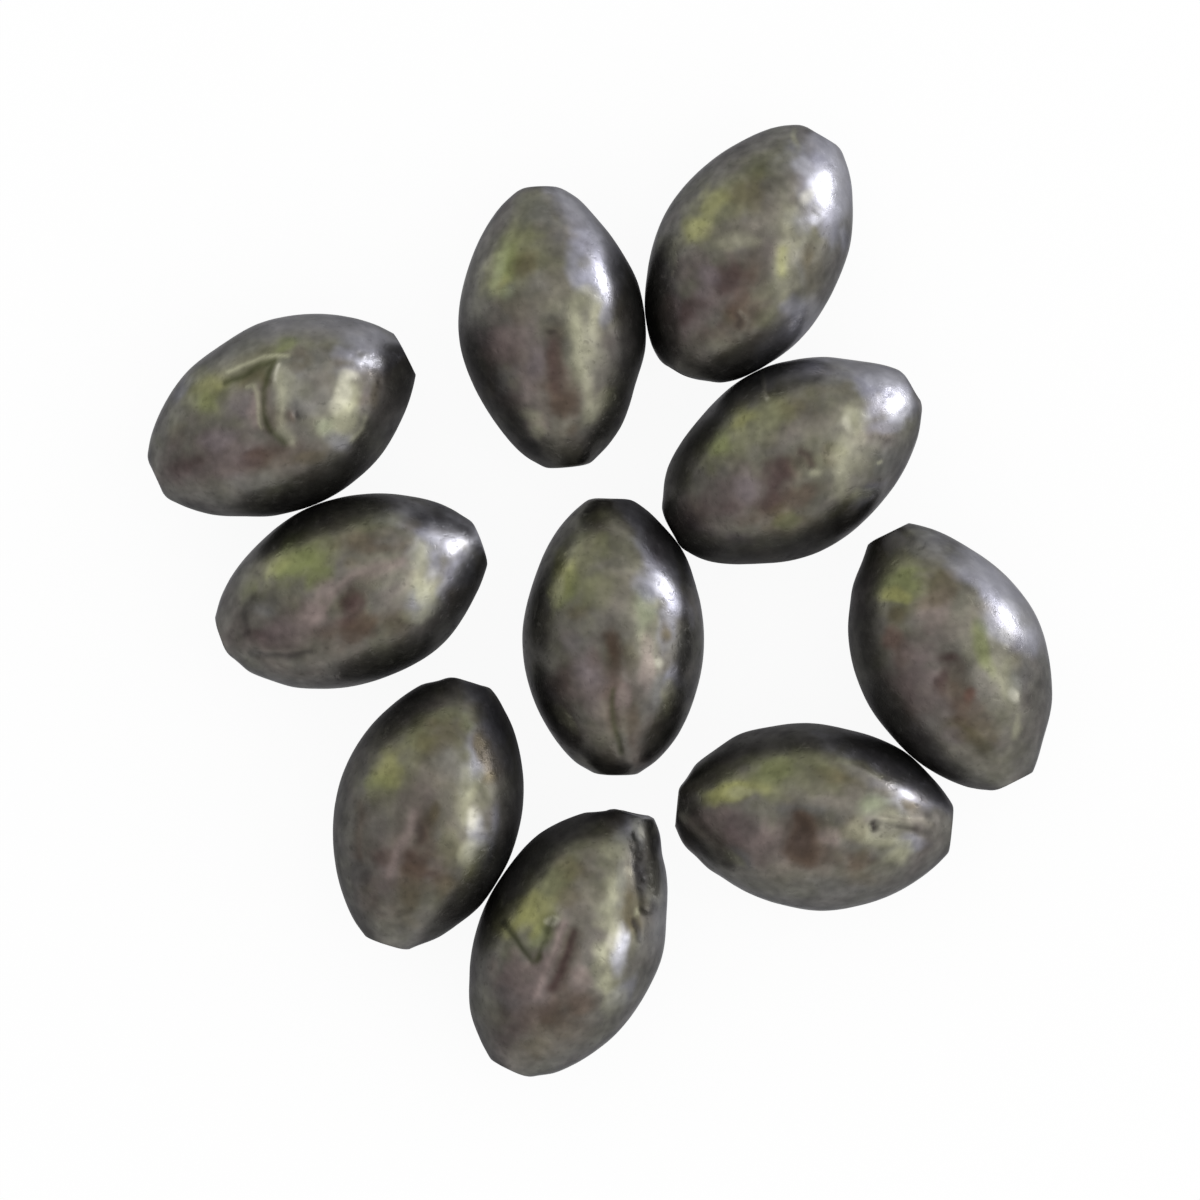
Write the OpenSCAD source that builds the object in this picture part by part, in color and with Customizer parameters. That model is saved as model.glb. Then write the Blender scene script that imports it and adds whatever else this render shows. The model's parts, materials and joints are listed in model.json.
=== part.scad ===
// Ten olive sinkers of cast lead, lying on their sides as a loose set.
// Each sinker is one solid casting. Its side is a single round sweep from end to end,
// each end is a small flat, and a bore for the line runs through its whole length, with
// a countersink at both mouths.
// The set is laid out as seen from above: +X is right, +Y is up the view, and the
// surface is at Z zero. The origin is on the surface, under the middle of the set.

/* [Sinker] */
// Length of a sinker from end flat to end flat
sinker_length = 20; // [17:0.5:23]
// Diameter of the belly, halfway along
belly_d = 13.4; // [12:0.1:15.5]

/* [Line bore] */
// Diameter of the bore for the line
bore_d = 2; // [0.8:0.1:3]
// Width of the countersink round each mouth of the bore
countersink_w = 0.25; // [0.1:0.05:0.5]
// Width of the flat ring between the countersink and the side
end_ring_w = 0.45; // [0.3:0.05:1]

/* [Set] */
// Clearance between sinkers that lie against each other
touch_gap = 0.1; // [0.05:0.05:1]
// Gap between sinkers that lie apart, shared out by the table below
open_gap = 2; // [0.5:0.1:6]

/* [Hidden] */
// How far a cut runs past the face that it opens
overrun = 1;
// Facets of a round shape on screen
$fn = 96;

NODES = [
    "sinker_centre", "sinker_right", "sinker_top_right", "sinker_top", "sinker_left",
    "sinker_upper_left", "sinker_lower_left", "sinker_bottom", "sinker_lower_right",
    "sinker_far_right"
];

// The tables below have a row for each sinker, in the order of NODES

// Heading of each sinker's axis, in degrees anticlockwise from +X
headings = [91, 30, 59, 96, 20.5, 26.5, 73, 65, 174.5, 116.5];

// Length and girth of each casting as shares of the nominal sizes
casting_shares = [
    [1.00, 0.98], // centre
    [1.01, 1.00], // right
    [1.00, 1.00], // top right
    [1.01, 0.99], // top
    [0.99, 1.00], // left
    [1.00, 1.01], // upper left
    [0.99, 1.00], // lower left
    [1.01, 0.99], // bottom
    [0.99, 1.00], // lower right
    [1.00, 1.01]  // far right
];

// What each sinker lies beside, as up to two entries: a neighbour from higher up in NODES,
// the bearing of the gap seen from that neighbour, and the gap as a share of open_gap,
// which is zero where the two touch
gap_shares = [
    [],
    [["sinker_centre", 30.5, 0]],
    [["sinker_right", 115.5, 0]],
    [["sinker_top_right", 185.5, 0], ["sinker_centre", 95.5, 1.2]],
    [["sinker_centre", 162.5, 1.6]],
    [["sinker_left", 112, 0], ["sinker_top", 195.5, 1.85]],
    [["sinker_centre", 204, 1.05], ["sinker_left", 299.5, 0.75]],
    [["sinker_lower_left", 327, 0], ["sinker_centre", 270.5, 1]],
    [["sinker_centre", 315.5, 1.05], ["sinker_bottom", 19.5, 0.75]],
    [["sinker_lower_right", 51.5, 0], ["sinker_right", 308, 0.7]]
];

// Tones of dull lead
lead_tones = [[0.40, 0.40, 0.38], [0.44, 0.44, 0.41], [0.37, 0.37, 0.36]];

// Sizes of one casting
function half_length(row) = sinker_length * casting_shares[row][0] / 2;
function belly_r(row) = belly_d * casting_shares[row][1] / 2;
mouth_r = bore_d / 2 + countersink_w;
flat_r = mouth_r + end_ring_w;

// The side is an arc through the rim of both end flats and the belly
function rise(row) = belly_r(row) - flat_r;
function sweep_r(row) = (pow(half_length(row), 2) + pow(rise(row), 2)) / (2 * rise(row));
// Angle that the side turns through from the belly to the rim
function sweep_angle(row) = asin(half_length(row) / sweep_r(row));

// Point of a casting's outline, from its middle, that faces a bearing
function unit(bearing) = [cos(bearing), sin(bearing)];
function turned(point, angle) = [
    point.x * cos(angle) - point.y * sin(angle),
    point.x * sin(angle) + point.y * cos(angle)
];
function facing(row, bearing) = let (
    look = unit(bearing - headings[row]),
    lean = atan2(abs(look.x), abs(look.y)),
    on_side = lean < sweep_angle(row),
    along = on_side ? sweep_r(row) * sin(lean) : half_length(row),
    across = on_side ? sweep_r(row) * cos(lean) + belly_r(row) - sweep_r(row) : flat_r
) turned([sign(look.x) * along, sign(look.y) * across], headings[row]);
// How far a casting reaches from its middle along a bearing
function reach(row, bearing) = facing(row, bearing) * unit(bearing);

// An entry's neighbour, by its row, and the gap to it
function beside(entry) = search([entry[0]], NODES)[0];
function gap(entry) = touch_gap + entry[2] * open_gap;
// How far out along an entry's bearing the sinker's middle lies
function offset_along(row, entry, placed) =
    placed[beside(entry)] * unit(entry[1]) + reach(beside(entry), entry[1])
    + gap(entry) + reach(row, entry[1] + 180);

// Where the lines at two distances along two bearings cross
function crossing(bearing_a, offset_a, bearing_b, offset_b) = let (
    a = unit(bearing_a),
    b = unit(bearing_b),
    spread = a.x * b.y - a.y * b.x
) [(offset_a * b.y - offset_b * a.y) / spread, (offset_b * a.x - offset_a * b.x) / spread];

// A sinker beside one neighbour faces it squarely, one beside two keeps both its gaps
function beside_one(row, entry, placed) =
    placed[beside(entry)] + facing(beside(entry), entry[1]) + gap(entry) * unit(entry[1])
    - facing(row, entry[1] + 180);
function beside_two(row, entries, placed) = crossing(
    entries[0][1], offset_along(row, entries[0], placed),
    entries[1][1], offset_along(row, entries[1], placed)
);
function place(row, placed) =
    len(gap_shares[row]) == 0 ? [0, 0]
    : len(gap_shares[row]) == 1 ? beside_one(row, gap_shares[row][0], placed)
    : beside_two(row, gap_shares[row], placed);
function place_all(placed = []) =
    len(placed) == len(NODES) ? placed
    : place_all(concat(placed, [place(len(placed), placed)]));

// Middles of the sinkers, moved so that the set is centred on the origin
laid = place_all();
rows = [for (row = [0 : len(NODES) - 1]) row];
low = [
    min([for (row = rows) laid[row].x - reach(row, 180)]),
    min([for (row = rows) laid[row].y - reach(row, 270)])
];
high = [
    max([for (row = rows) laid[row].x + reach(row, 0)]),
    max([for (row = rows) laid[row].y + reach(row, 90)])
];
middles = [for (point = laid) point - (low + high) / 2];

// Half of the casting's lengthwise section, with the axis along Y. The circle is turned so
// that it starts and ends beyond the axis, and the side comes out as one unbroken arc.
module half_section(row) {
    intersection() {
        translate([belly_r(row) - sweep_r(row), 0]) rotate(180) circle(r = sweep_r(row));
        translate([0, -half_length(row)])
            square([belly_r(row) + overrun, 2 * half_length(row)]);
    }
}

// One casting, upright on its middle, with the axis along Z
module casting(row) {
    difference() {
        rotate_extrude() half_section(row);
        cylinder(d = bore_d, h = 2 * (half_length(row) + overrun), center = true);
        for (end = [0, 1])
            mirror([0, 0, end])
                translate([0, 0, half_length(row) - countersink_w])
                    cylinder(
                        r1 = bore_d / 2,
                        r2 = mouth_r + overrun,
                        h = countersink_w + overrun
                    );
    }
}

// One sinker of the set, on its side at its place and heading
module sinker(row) {
    color(lead_tones[row % len(lead_tones)])
        translate([middles[row].x, middles[row].y, belly_r(row)])
            rotate([0, 90, headings[row]])
                casting(row);
}

for (row = rows)
    sinker(row);
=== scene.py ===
import json
import math

import bmesh
import bpy
import numpy as np
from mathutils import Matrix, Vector, noise


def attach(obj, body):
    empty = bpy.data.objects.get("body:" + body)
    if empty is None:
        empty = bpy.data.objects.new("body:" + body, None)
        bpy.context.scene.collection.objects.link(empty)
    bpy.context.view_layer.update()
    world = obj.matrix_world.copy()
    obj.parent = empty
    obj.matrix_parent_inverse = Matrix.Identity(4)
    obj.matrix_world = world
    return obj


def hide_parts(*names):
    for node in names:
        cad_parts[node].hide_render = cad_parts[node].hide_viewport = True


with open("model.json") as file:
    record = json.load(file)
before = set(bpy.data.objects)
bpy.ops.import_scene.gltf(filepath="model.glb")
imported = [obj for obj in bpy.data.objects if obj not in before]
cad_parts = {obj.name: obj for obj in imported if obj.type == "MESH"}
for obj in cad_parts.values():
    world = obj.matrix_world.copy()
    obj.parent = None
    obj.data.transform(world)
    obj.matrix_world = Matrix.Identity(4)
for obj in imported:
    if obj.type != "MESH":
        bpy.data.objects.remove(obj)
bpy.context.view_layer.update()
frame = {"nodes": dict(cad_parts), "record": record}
print("frame loaded:", len(frame["nodes"]), "castings")

mm = 0.001
hair = 0.001  # a length in millimetres that is too short to matter
speck = 1e-9  # keeps a division clear of zero


# What is said below about each casting, in millimetres from its middle as the camera sees it,
# x to the right and y up the view. Bearings, turns and spreads are in degrees, anticlockwise
# from x, and strengths are shares of one.
#   ends      bearing of the end, how far its rim is drawn in, smoothing passes, pull outwards
#   grabs     bearing of the spot on the outline that is pulled, how far, reach of the pull
#   ridges    height (less than zero is a groove), width, path
#   pits      x, y, radius, depth (less than zero is a bump)
#   stains    tarnish stains together with painted highlights, painted reflections and painted shade: tone, x, y, half length, half width, turn, strength
#   streaks   tarnish streaks together with painted highlight bands and painted shade bands: tone, width, strength, path
#   rim shade painted shade along the rim: bearing of the shaded side of the rim, spread, strength
#   shine     bearing of the bright side of the rim, spread, strength
castings = {}

castings["upper_left"] = {
    "ends": [(206.5, 0.12, 12, 0.1)],
    "grabs": [(130, -0.2, 3.5), (250, -0.12, 2.5), (310, 0.12, 5), (340, 0.1, 3), (35, -0.1, 2),
              (208, 0.15, 2.5), (292, 0.015, 3)],
    "ridges": [
        (0.04, 0.18, [(-3.8, 3.15), (-2.5, 3.65), (-1.25, 4.25), (-0.35, 4.4), (0.45, 4.25)]),
        (-0.07, 0.26, [(-4, 2.35), (-2.5, 2.85), (-1.45, 3.65), (-0.55, 3.95), (-0.85, 3.05),
                       (-1.25, 1.85), (-1.15, 0.2), (-0.85, -0.8), (0.1, -1.9)]),
        (0.04, 0.3, [(-0.1, 3.5), (-0.1, 1.7), (-0.15, 0.2), (-0.2, -1), (0.7, -1.8)]),
        (0.03, 0.2, [(-2.3, 2), (-1.85, 2.1), (-1.6, 1.6), (-1.5, 0.3), (-1.4, -0.7)]),
        (0.03, 0.35, [(6.1, -0.3), (5.9, -1.2), (5.1, -1.9)]),
    ],
    "pits": [(1.1, 0, 0.3, 0.1), (5.2, 4.3, 0.15, 0.04), (5.8, 4.6, 0.14, 0.04),
             (6.2, 4.2, 0.13, 0.04), (5.9, 3.7, 0.15, 0.04), (6.7, 4.3, 0.13, 0.04),
             (6.9, 3.7, 0.14, 0.04), (6.6, 3.1, 0.15, 0.04), (5.5, 3.5, 0.13, 0.03),
             (6.9, 1.6, 0.15, 0.04), (7.1, 2.4, 0.15, 0.04)],
    "stainsAndPaintedLight": [
        ("yellow", -5.1, 2.1, 1.2, 0.8, 30, 0.6), ("green", -5.4, 1.2, 0.9, 0.8, 0, 0.4),
        ("green", 0.2, 5.1, 1.2, 0.5, 10, 0.6), ("olive", -1.7, 4.7, 1.2, 0.5, 20, 0.5),
        ("grey", 1.3, 1.9, 1.6, 2, 0, 0.6), ("grey", 2.2, 4, 1.6, 1, 0, 0.4),
        ("pale", 4.9, 1.6, 1.6, 0.8, 75, 0.65), ("pale", 4.3, -0.8, 1.3, 0.9, 60, 0.45),
        ("lavender", 4.2, -1.8, 1, 0.6, -30, 0.4), ("lilac", -3, 0.9, 1.2, 1, 60, 0.5),
        ("lilac", -4.2, -1.6, 1.5, 0.7, 20, 0.5), ("wine", -6.6, -3.2, 1.2, 0.8, 20, 0.5),
        ("wine", -2, -2.9, 1, 0.6, 20, 0.5), ("mauve", -3.6, -3.7, 1.6, 0.7, 10, 0.4),
        ("grey", -1.6, -5, 2.5, 0.7, 0, 0.4), ("bright", 6.3, 3.9, 0.9, 0.5, -10, 0.8),
        ("lavender", 5, 4.4, 1.4, 0.8, -10, 0.5), ("grey", -3, 5, 3, 0.7, 30, 0.5),
        ("yellow", -6.1, 2.3, 0.9, 1.1, 40, 0.35), ("pale", 0.3, 2, 1.3, 0.7, 85, 0.35),
        ("rose", -1.5, 0.9, 1.3, 0.5, 85, 0.5), ("bone", 4.7, 2.3, 1.1, 0.6, 75, 0.3),
        ("brown", 1.5, 4.4, 0.8, 0.5, 0, 0.4), ("umber", 2.1, -3.1, 1.3, 0.5, 5, 0.5),
        ("brown", -1.5, -3, 0.8, 0.6, 0, 0.3), ("stone", 3.5, 6.1, 2.4, 0.6, 5, 0.4),
        ("wine", -7.4, -1.6, 0.7, 0.8, 0, 0.3),
        ("bone", 4.5, 1.8, 1.7, 0.55, 62, 0.3), ("bone", 5.4, 2.9, 0.6, 0.5, 60, 0.4),
        ("lilac", 6, 1.3, 0.9, 0.3, 80, 0.4), ("umber", 6.9, 1.2, 1, 0.35, 80, 0.5),
        ("dark", 7.4, 3.9, 0.8, 0.35, -60, 0.5), ("lavender", -7.1, 2.2, 1, 0.5, 55, 0.5),
        ("paleGreen", 3, -0.6, 0.8, 0.6, 0, 0.3), ("rose", -1.9, -0.3, 0.5, 0.8, 0, 0.4),
        ("umber", 6.6, 1.2, 0.9, 0.35, 80, 0.5), ("bone", 5.6, 2.8, 0.5, 0.5, 0, 0.4),
        ("pale", 1.6, 1.9, 0.8, 0.8, 0, 0.3), ("umber", 1.4, 3.6, 0.8, 0.4, 0, 0.4),
        ("dark", 7.9, -1, 1.1, 0.5, 60, 0.45), ("umber", 6.1, 1.1, 0.7, 0.5, 0, 0.35),
        ("grey", 7, 3.9, 0.7, 0.5, 0, 0.3), ("pale", -6.7, 1.2, 0.6, 0.5, 0, 0.4),
        ("umber", 2, 3.9, 0.5, 0.5, 0, 0.4), ("pale", -6.5, 2.7, 0.6, 0.4, 0, 0.35),
    ],
    "streaksAndPaintedLight": [
        ("stone", 0.7, 0.4, [(-4.2, 3), (-2.5, 4), (-1, 4.7)]),
        ("umber", 0.5, 0.5, [(-2.6, 2.4), (-1.5, 3.1), (-1.1, 2.6)]),
        ("pale", 0.17, 0.6, [(-3.8, 3.15), (-2.5, 3.65), (-1.25, 4.25), (-0.35, 4.4), (0.45, 4.25)]),
        ("moss", 0.27, 0.8, [(-4, 2.35), (-2.5, 2.85), (-1.45, 3.65), (-0.55, 3.95), (-0.85, 3.05),
                             (-1.25, 1.85), (-1.15, 0.2), (-0.85, -0.8), (0.1, -1.9)]),
        ("bone", 0.15, 0.6, [(-0.1, 3.5), (-0.3, 2.6)]),
        ("pale", 0.42, 0.4, [(0, 2.8), (0.05, 1.7), (-0.05, 0.2), (-0.1, -1), (0.7, -1.8)]),
        ("pale", 0.17, 0.45, [(-2.3, 2), (-1.85, 2.1), (-1.6, 1.6), (-1.5, 0.3), (-1.4, -0.7)]),
        ("pale", 0.3, 0.5, [(6.1, -0.3), (5.9, -1.2), (5.1, -1.9)]),
        ("brown", 0.25, 0.5, [(0.6, 0.1), (0.8, -0.3)]),
        ("dark", 0.2, 0.7, [(1.15, 0.25), (1.2, 0)]),
        ("dark", 0.8, 0.55, [(7.8, 4.8), (7.3, 2.8), (6.7, 1), (6.4, -0.6)]),
    ],
    "rimShade": [(-60, 70, 0.5), (0, 30, 0.8)],
    "shine": [(75, 40, 0.2)],
}

castings["left"] = {
    "ends": [(20.5, 0.03, 4, 0.12)],
    "grabs": [(327, 0.2, 4.5), (45, 0.1, 2.5), (150, -0.1, 4), (209, -0.35, 2), (192, -0.1, 2),
              (240, 0.08, 2), (112, 0.015, 3)],
    "ridges": [
        (0.05, 0.4, [(-2.6, -2.2), (-1.5, -0.3), (0.2, 1), (2.2, 1.7), (3.8, 2.3)]),
        (-0.06, 0.25, [(-7, -4.7), (-3, -4.4)]),
        (0.12, 1.6, [(7.6, 2.6), (8.2, 3.4)]),
    ],
    "pits": [(-3.6, -1.1, 0.2, 0.05), (-6.6, -4.7, 0.22, 0.06), (-4.6, -4.5, 0.22, 0.05)],
    "stainsAndPaintedLight": [
        ("green", -4.4, 1.9, 2, 1.2, 25, 0.7), ("green", -2.2, 1.1, 1.3, 0.8, 20, 0.6),
        ("brown", 0.8, 3.7, 1.8, 0.8, 0, 0.5), ("olive", 1.8, 5.2, 1.6, 0.6, 0, 0.4),
        ("brown", 2.8, 3.2, 1.2, 0.5, 10, 0.5), ("rose", -2.8, -1.6, 1.1, 0.8, 40, 0.6),
        ("grey", -6.2, -1.2, 1, 0.9, 0, 0.4), ("wine", 0, -0.8, 1, 1, 0, 0.65),
        ("brown", 0.9, -2.4, 1.4, 1, 0, 0.6), ("umber", 3, -2.4, 1.3, 0.9, 0, 0.5),
        ("lavender", 5.3, -1, 1, 1.2, 70, 0.5), ("lavender", 7.9, 1.8, 1.4, 1.2, 60, 0.7),
        ("lavender", 5.8, 4.5, 1.2, 0.8, -20, 0.6), ("bright", 7.6, 3.6, 1, 0.8, 20, 0.7),
        ("mauve", -5, -3, 1.6, 0.8, 0, 0.4), ("rose", 4.4, 4.8, 0.7, 0.5, 0, 0.3),
        ("bright", 6.9, 4.7, 1.4, 0.5, -15, 0.5), ("lavender", 9, 3.2, 0.7, 0.9, 60, 0.5),
        ("pale", 5.8, -0.4, 1.7, 0.8, 80, 0.6), ("lavender", 6, 1.8, 1.2, 0.6, 80, 0.4),
        ("yellow", -5.6, 2, 1.3, 0.8, 30, 0.3), ("olive", -4, 3.8, 1.6, 0.7, 30, 0.4),
        ("rose", -1.6, -0.1, 0.8, 0.6, 30, 0.5), ("dark", 0, -1.5, 0.8, 0.8, 0, 0.4),
        ("brown", 0.2, -3, 1.8, 0.7, 0, 0.5), ("wine", -6.8, -3, 1, 0.5, 0, 0.35),
        ("brown", -3.5, -6, 2.6, 0.7, -10, 0.5), ("grey", -6, -1.4, 0.8, 0.6, 0, 0.4),
        ("bright", 7.2, 4.4, 1.6, 0.8, -10, 0.55), ("bright", 6.2, 4, 0.8, 0.6, 0, 0.35),
        ("bright", 8.7, 3.1, 0.9, 0.4, 70, 0.5), ("lavender", 6.7, 0, 0.8, 0.5, 80, 0.4),
        ("olive", -4, 3.9, 1.4, 0.5, 35, 0.6), ("rose", -1.8, 0.4, 0.9, 0.6, 30, 0.5),
        ("wine", -0.7, -2.3, 0.9, 0.6, 0, 0.4), ("wine", 0.5, -1.1, 0.8, 0.8, 0, 0.5),
        ("grey", 4.7, 5, 0.9, 0.4, 0, 0.5), ("stone", -6.7, 1.5, 0.9, 0.5, 50, 0.5),
        ("dark", 7.3, 5.8, 1, 0.35, -30, 0.4),
        ("bright", 7.6, 4.2, 1, 0.35, -20, 0.6),
        ("bright", 7.5, 4.1, 1.1, 0.5, -10, 0.5), ("dark", 7.6, -2, 0.8, 0.45, 60, 0.45),
        ("pale", 4.8, -1.8, 1.2, 0.5, 0, 0.35), ("olive", -4.2, 3.6, 0.8, 0.4, 35, 0.4),
        ("bright", 7.6, 4.2, 0.7, 0.5, -10, 0.7), ("bright", 6.6, 4.2, 0.6, 0.4, 0, 0.45),
        ("stone", 4.6, 4.9, 0.6, 0.4, 0, 0.5), ("green", -4.3, 3.6, 0.8, 0.4, 35, 0.5),
        ("pale", 4.4, 2.4, 0.5, 0.4, 0, 0.35), ("umber", 0, 2, 0.6, 0.5, 0, 0.35),
    ],
    "streaksAndPaintedLight": [
        ("pale", 0.55, 0.55, [(4.9, 3), (5, 1), (4.9, -0.2)]),
        ("rose", 0.42, 0.6, [(-2.6, -2.2), (-1.5, -0.3), (0.2, 1), (2.2, 1.7), (3.8, 2.3)]),
        ("dark", 0.35, 0.5, [(-7.1, -0.4), (-7.7, -1.6), (-7.5, -3)]),
        ("dark", 0.28, 0.6, [(-7, -4.7), (-3, -4.4)]),
    ],
    "rimShade": [(95, 38, 0.4), (65, 20, 0.4), (-40, 45, 0.5), (-15, 25, 0.7)],
    "shine": [(24, 25, 0.5)],
}

castings["top"] = {
    "ends": [(96, 0.2, 20, 0.2), (276, 0.1, 10, 0.15)],
    "grabs": [(65, -0.32, 4), (45, -0.15, 2.5), (186, 0.22, 6), (325, -0.3, 3.5), (256, 0.12, 3)],
    "ridges": [(-0.04, 0.4, [(-0.1, -1.2), (0.2, -4.5)])],
    "pits": [(-0.3, -0.3, 0.4, 0.06)],
    "stainsAndPaintedLight": [
        ("green", -3.6, 4.6, 1.6, 0.9, 70, 0.65), ("yellow", -4, 3.2, 0.8, 0.7, 0, 0.5),
        ("umber", -2, 4.6, 0.8, 1.2, 0, 0.6), ("olive", -2.4, 6.6, 1, 0.8, 70, 0.4),
        ("slate", -0.8, 8, 1.6, 1.1, 0, 0.6), ("grey", 0.6, 6.6, 1, 1.2, 0, 0.5),
        ("lavender", 2.2, 5.8, 1.6, 0.7, -70, 0.6), ("lavender", 3, 3.6, 1.4, 0.9, -75, 0.6),
        ("bright", 3.8, 2.9, 1, 0.4, -70, 0.6), ("mauve", -4.3, -1.2, 1.2, 1.2, 0, 0.5),
        ("wine", -3, -1.6, 1.1, 0.7, 80, 0.2), ("slate", -3.4, -3.6, 1, 0.8, 60, 0.5),
        ("brown", 0.4, -5.4, 1.4, 1, 0, 0.6), ("stone", -1, -7, 0.9, 0.8, 0, 0.5),
        ("lilac", -1.4, -2.6, 1.3, 0.6, 80, 0.5), ("brown", -2.6, 1.2, 1, 0.8, 0, 0.3),
        ("dark", -0.3, -0.3, 0.4, 0.3, 0, 0.5),
        ("lavender", 1.7, 4.4, 1.8, 0.7, -80, 0.6), ("lavender", 2.9, 6.2, 1, 0.6, -60, 0.4),
        ("pale", 3, 0.9, 1.4, 0.6, -85, 0.45), ("yellow", -4.4, 3.9, 1.5, 0.6, 75, 0.35),
        ("stone", -1.2, 1.6, 2.2, 0.9, 0, 0.6), ("rose", -3.2, -0.9, 1.2, 1, 0, 0.4),
        ("brown", -0.5, -4.4, 1, 0.6, 0, 0.5), ("stone", -1.5, -6.8, 1.2, 0.7, 90, 0.7),
        ("brown", 1.5, -7.4, 0.7, 0.7, 0, 0.5), ("dark", -1.4, -9, 1.4, 0.5, -30, 0.5),
        ("dark", -3.3, -7.6, 0.8, 0.5, -50, 0.4),
        ("rose", -1.5, -7, 0.9, 0.8, 0, 0.5), ("stone", 3.6, -5.1, 0.9, 0.5, 70, 0.6),
        ("lavender", 3.2, 6.9, 1.3, 0.6, -50, 0.5), ("pale", 2.2, 2.1, 0.7, 0.6, 0, 0.4),
        ("lavender", 4, 1.1, 0.9, 0.5, 80, 0.4), ("pale", 0.1, 1.3, 0.9, 0.7, 0, 0.25),
        ("stone", -2.7, -6, 0.8, 0.6, -60, 0.5), ("slate", 2.6, 4.8, 0.9, 0.4, -70, 0.3),
        ("pale", -1.4, -6.9, 0.9, 0.6, 80, 0.4), ("pale", 3.6, -5.1, 0.8, 0.4, 70, 0.4),
        ("paleGreen", -4.2, 3.8, 1.6, 0.5, 75, 0.35), ("paleGreen", -3.5, 2.7, 0.6, 0.5, 0, 0.35),
        ("dark", 4.4, -1.6, 1, 0.35, 88, 0.4),
        ("pale", -1.9, -6.3, 0.8, 0.5, 0, 0.4), ("pale", -1.2, -7.7, 0.5, 0.4, 0, 0.4),
        ("umber", -4.9, -5, 0.9, 0.4, 70, 0.5), ("rose", -4.9, -2.1, 0.7, 0.5, 0, 0.6),
        ("pale", -4.7, 4.7, 0.7, 0.4, 70, 0.45), ("pale", 4.2, -5.2, 0.6, 0.4, 70, 0.5),
        ("bone", 2.7, 2.5, 0.5, 0.5, 0, 0.35), ("rose", -3.5, -2.3, 0.5, 0.5, 0, 0.4),
    ],
    "streaksAndPaintedLight": [
        ("pale", 0.55, 0.45, [(1.6, 1.5), (1.8, -1), (2.1, -3.5), (2.7, -5.5), (2.7, -6.5)]),
        ("wine", 0.5, 0.5, [(-0.1, -1.2), (0.2, -4.5)]),
        ("dark", 0.8, 0.5, [(4.8, 0.8), (4.8, -2.2)]),
    ],
    "rimShade": [(0, 55, 0.6), (215, 40, 0.6), (250, 35, 0.5)],
    "shine": [(50, 25, 0.3)],
}

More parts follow.
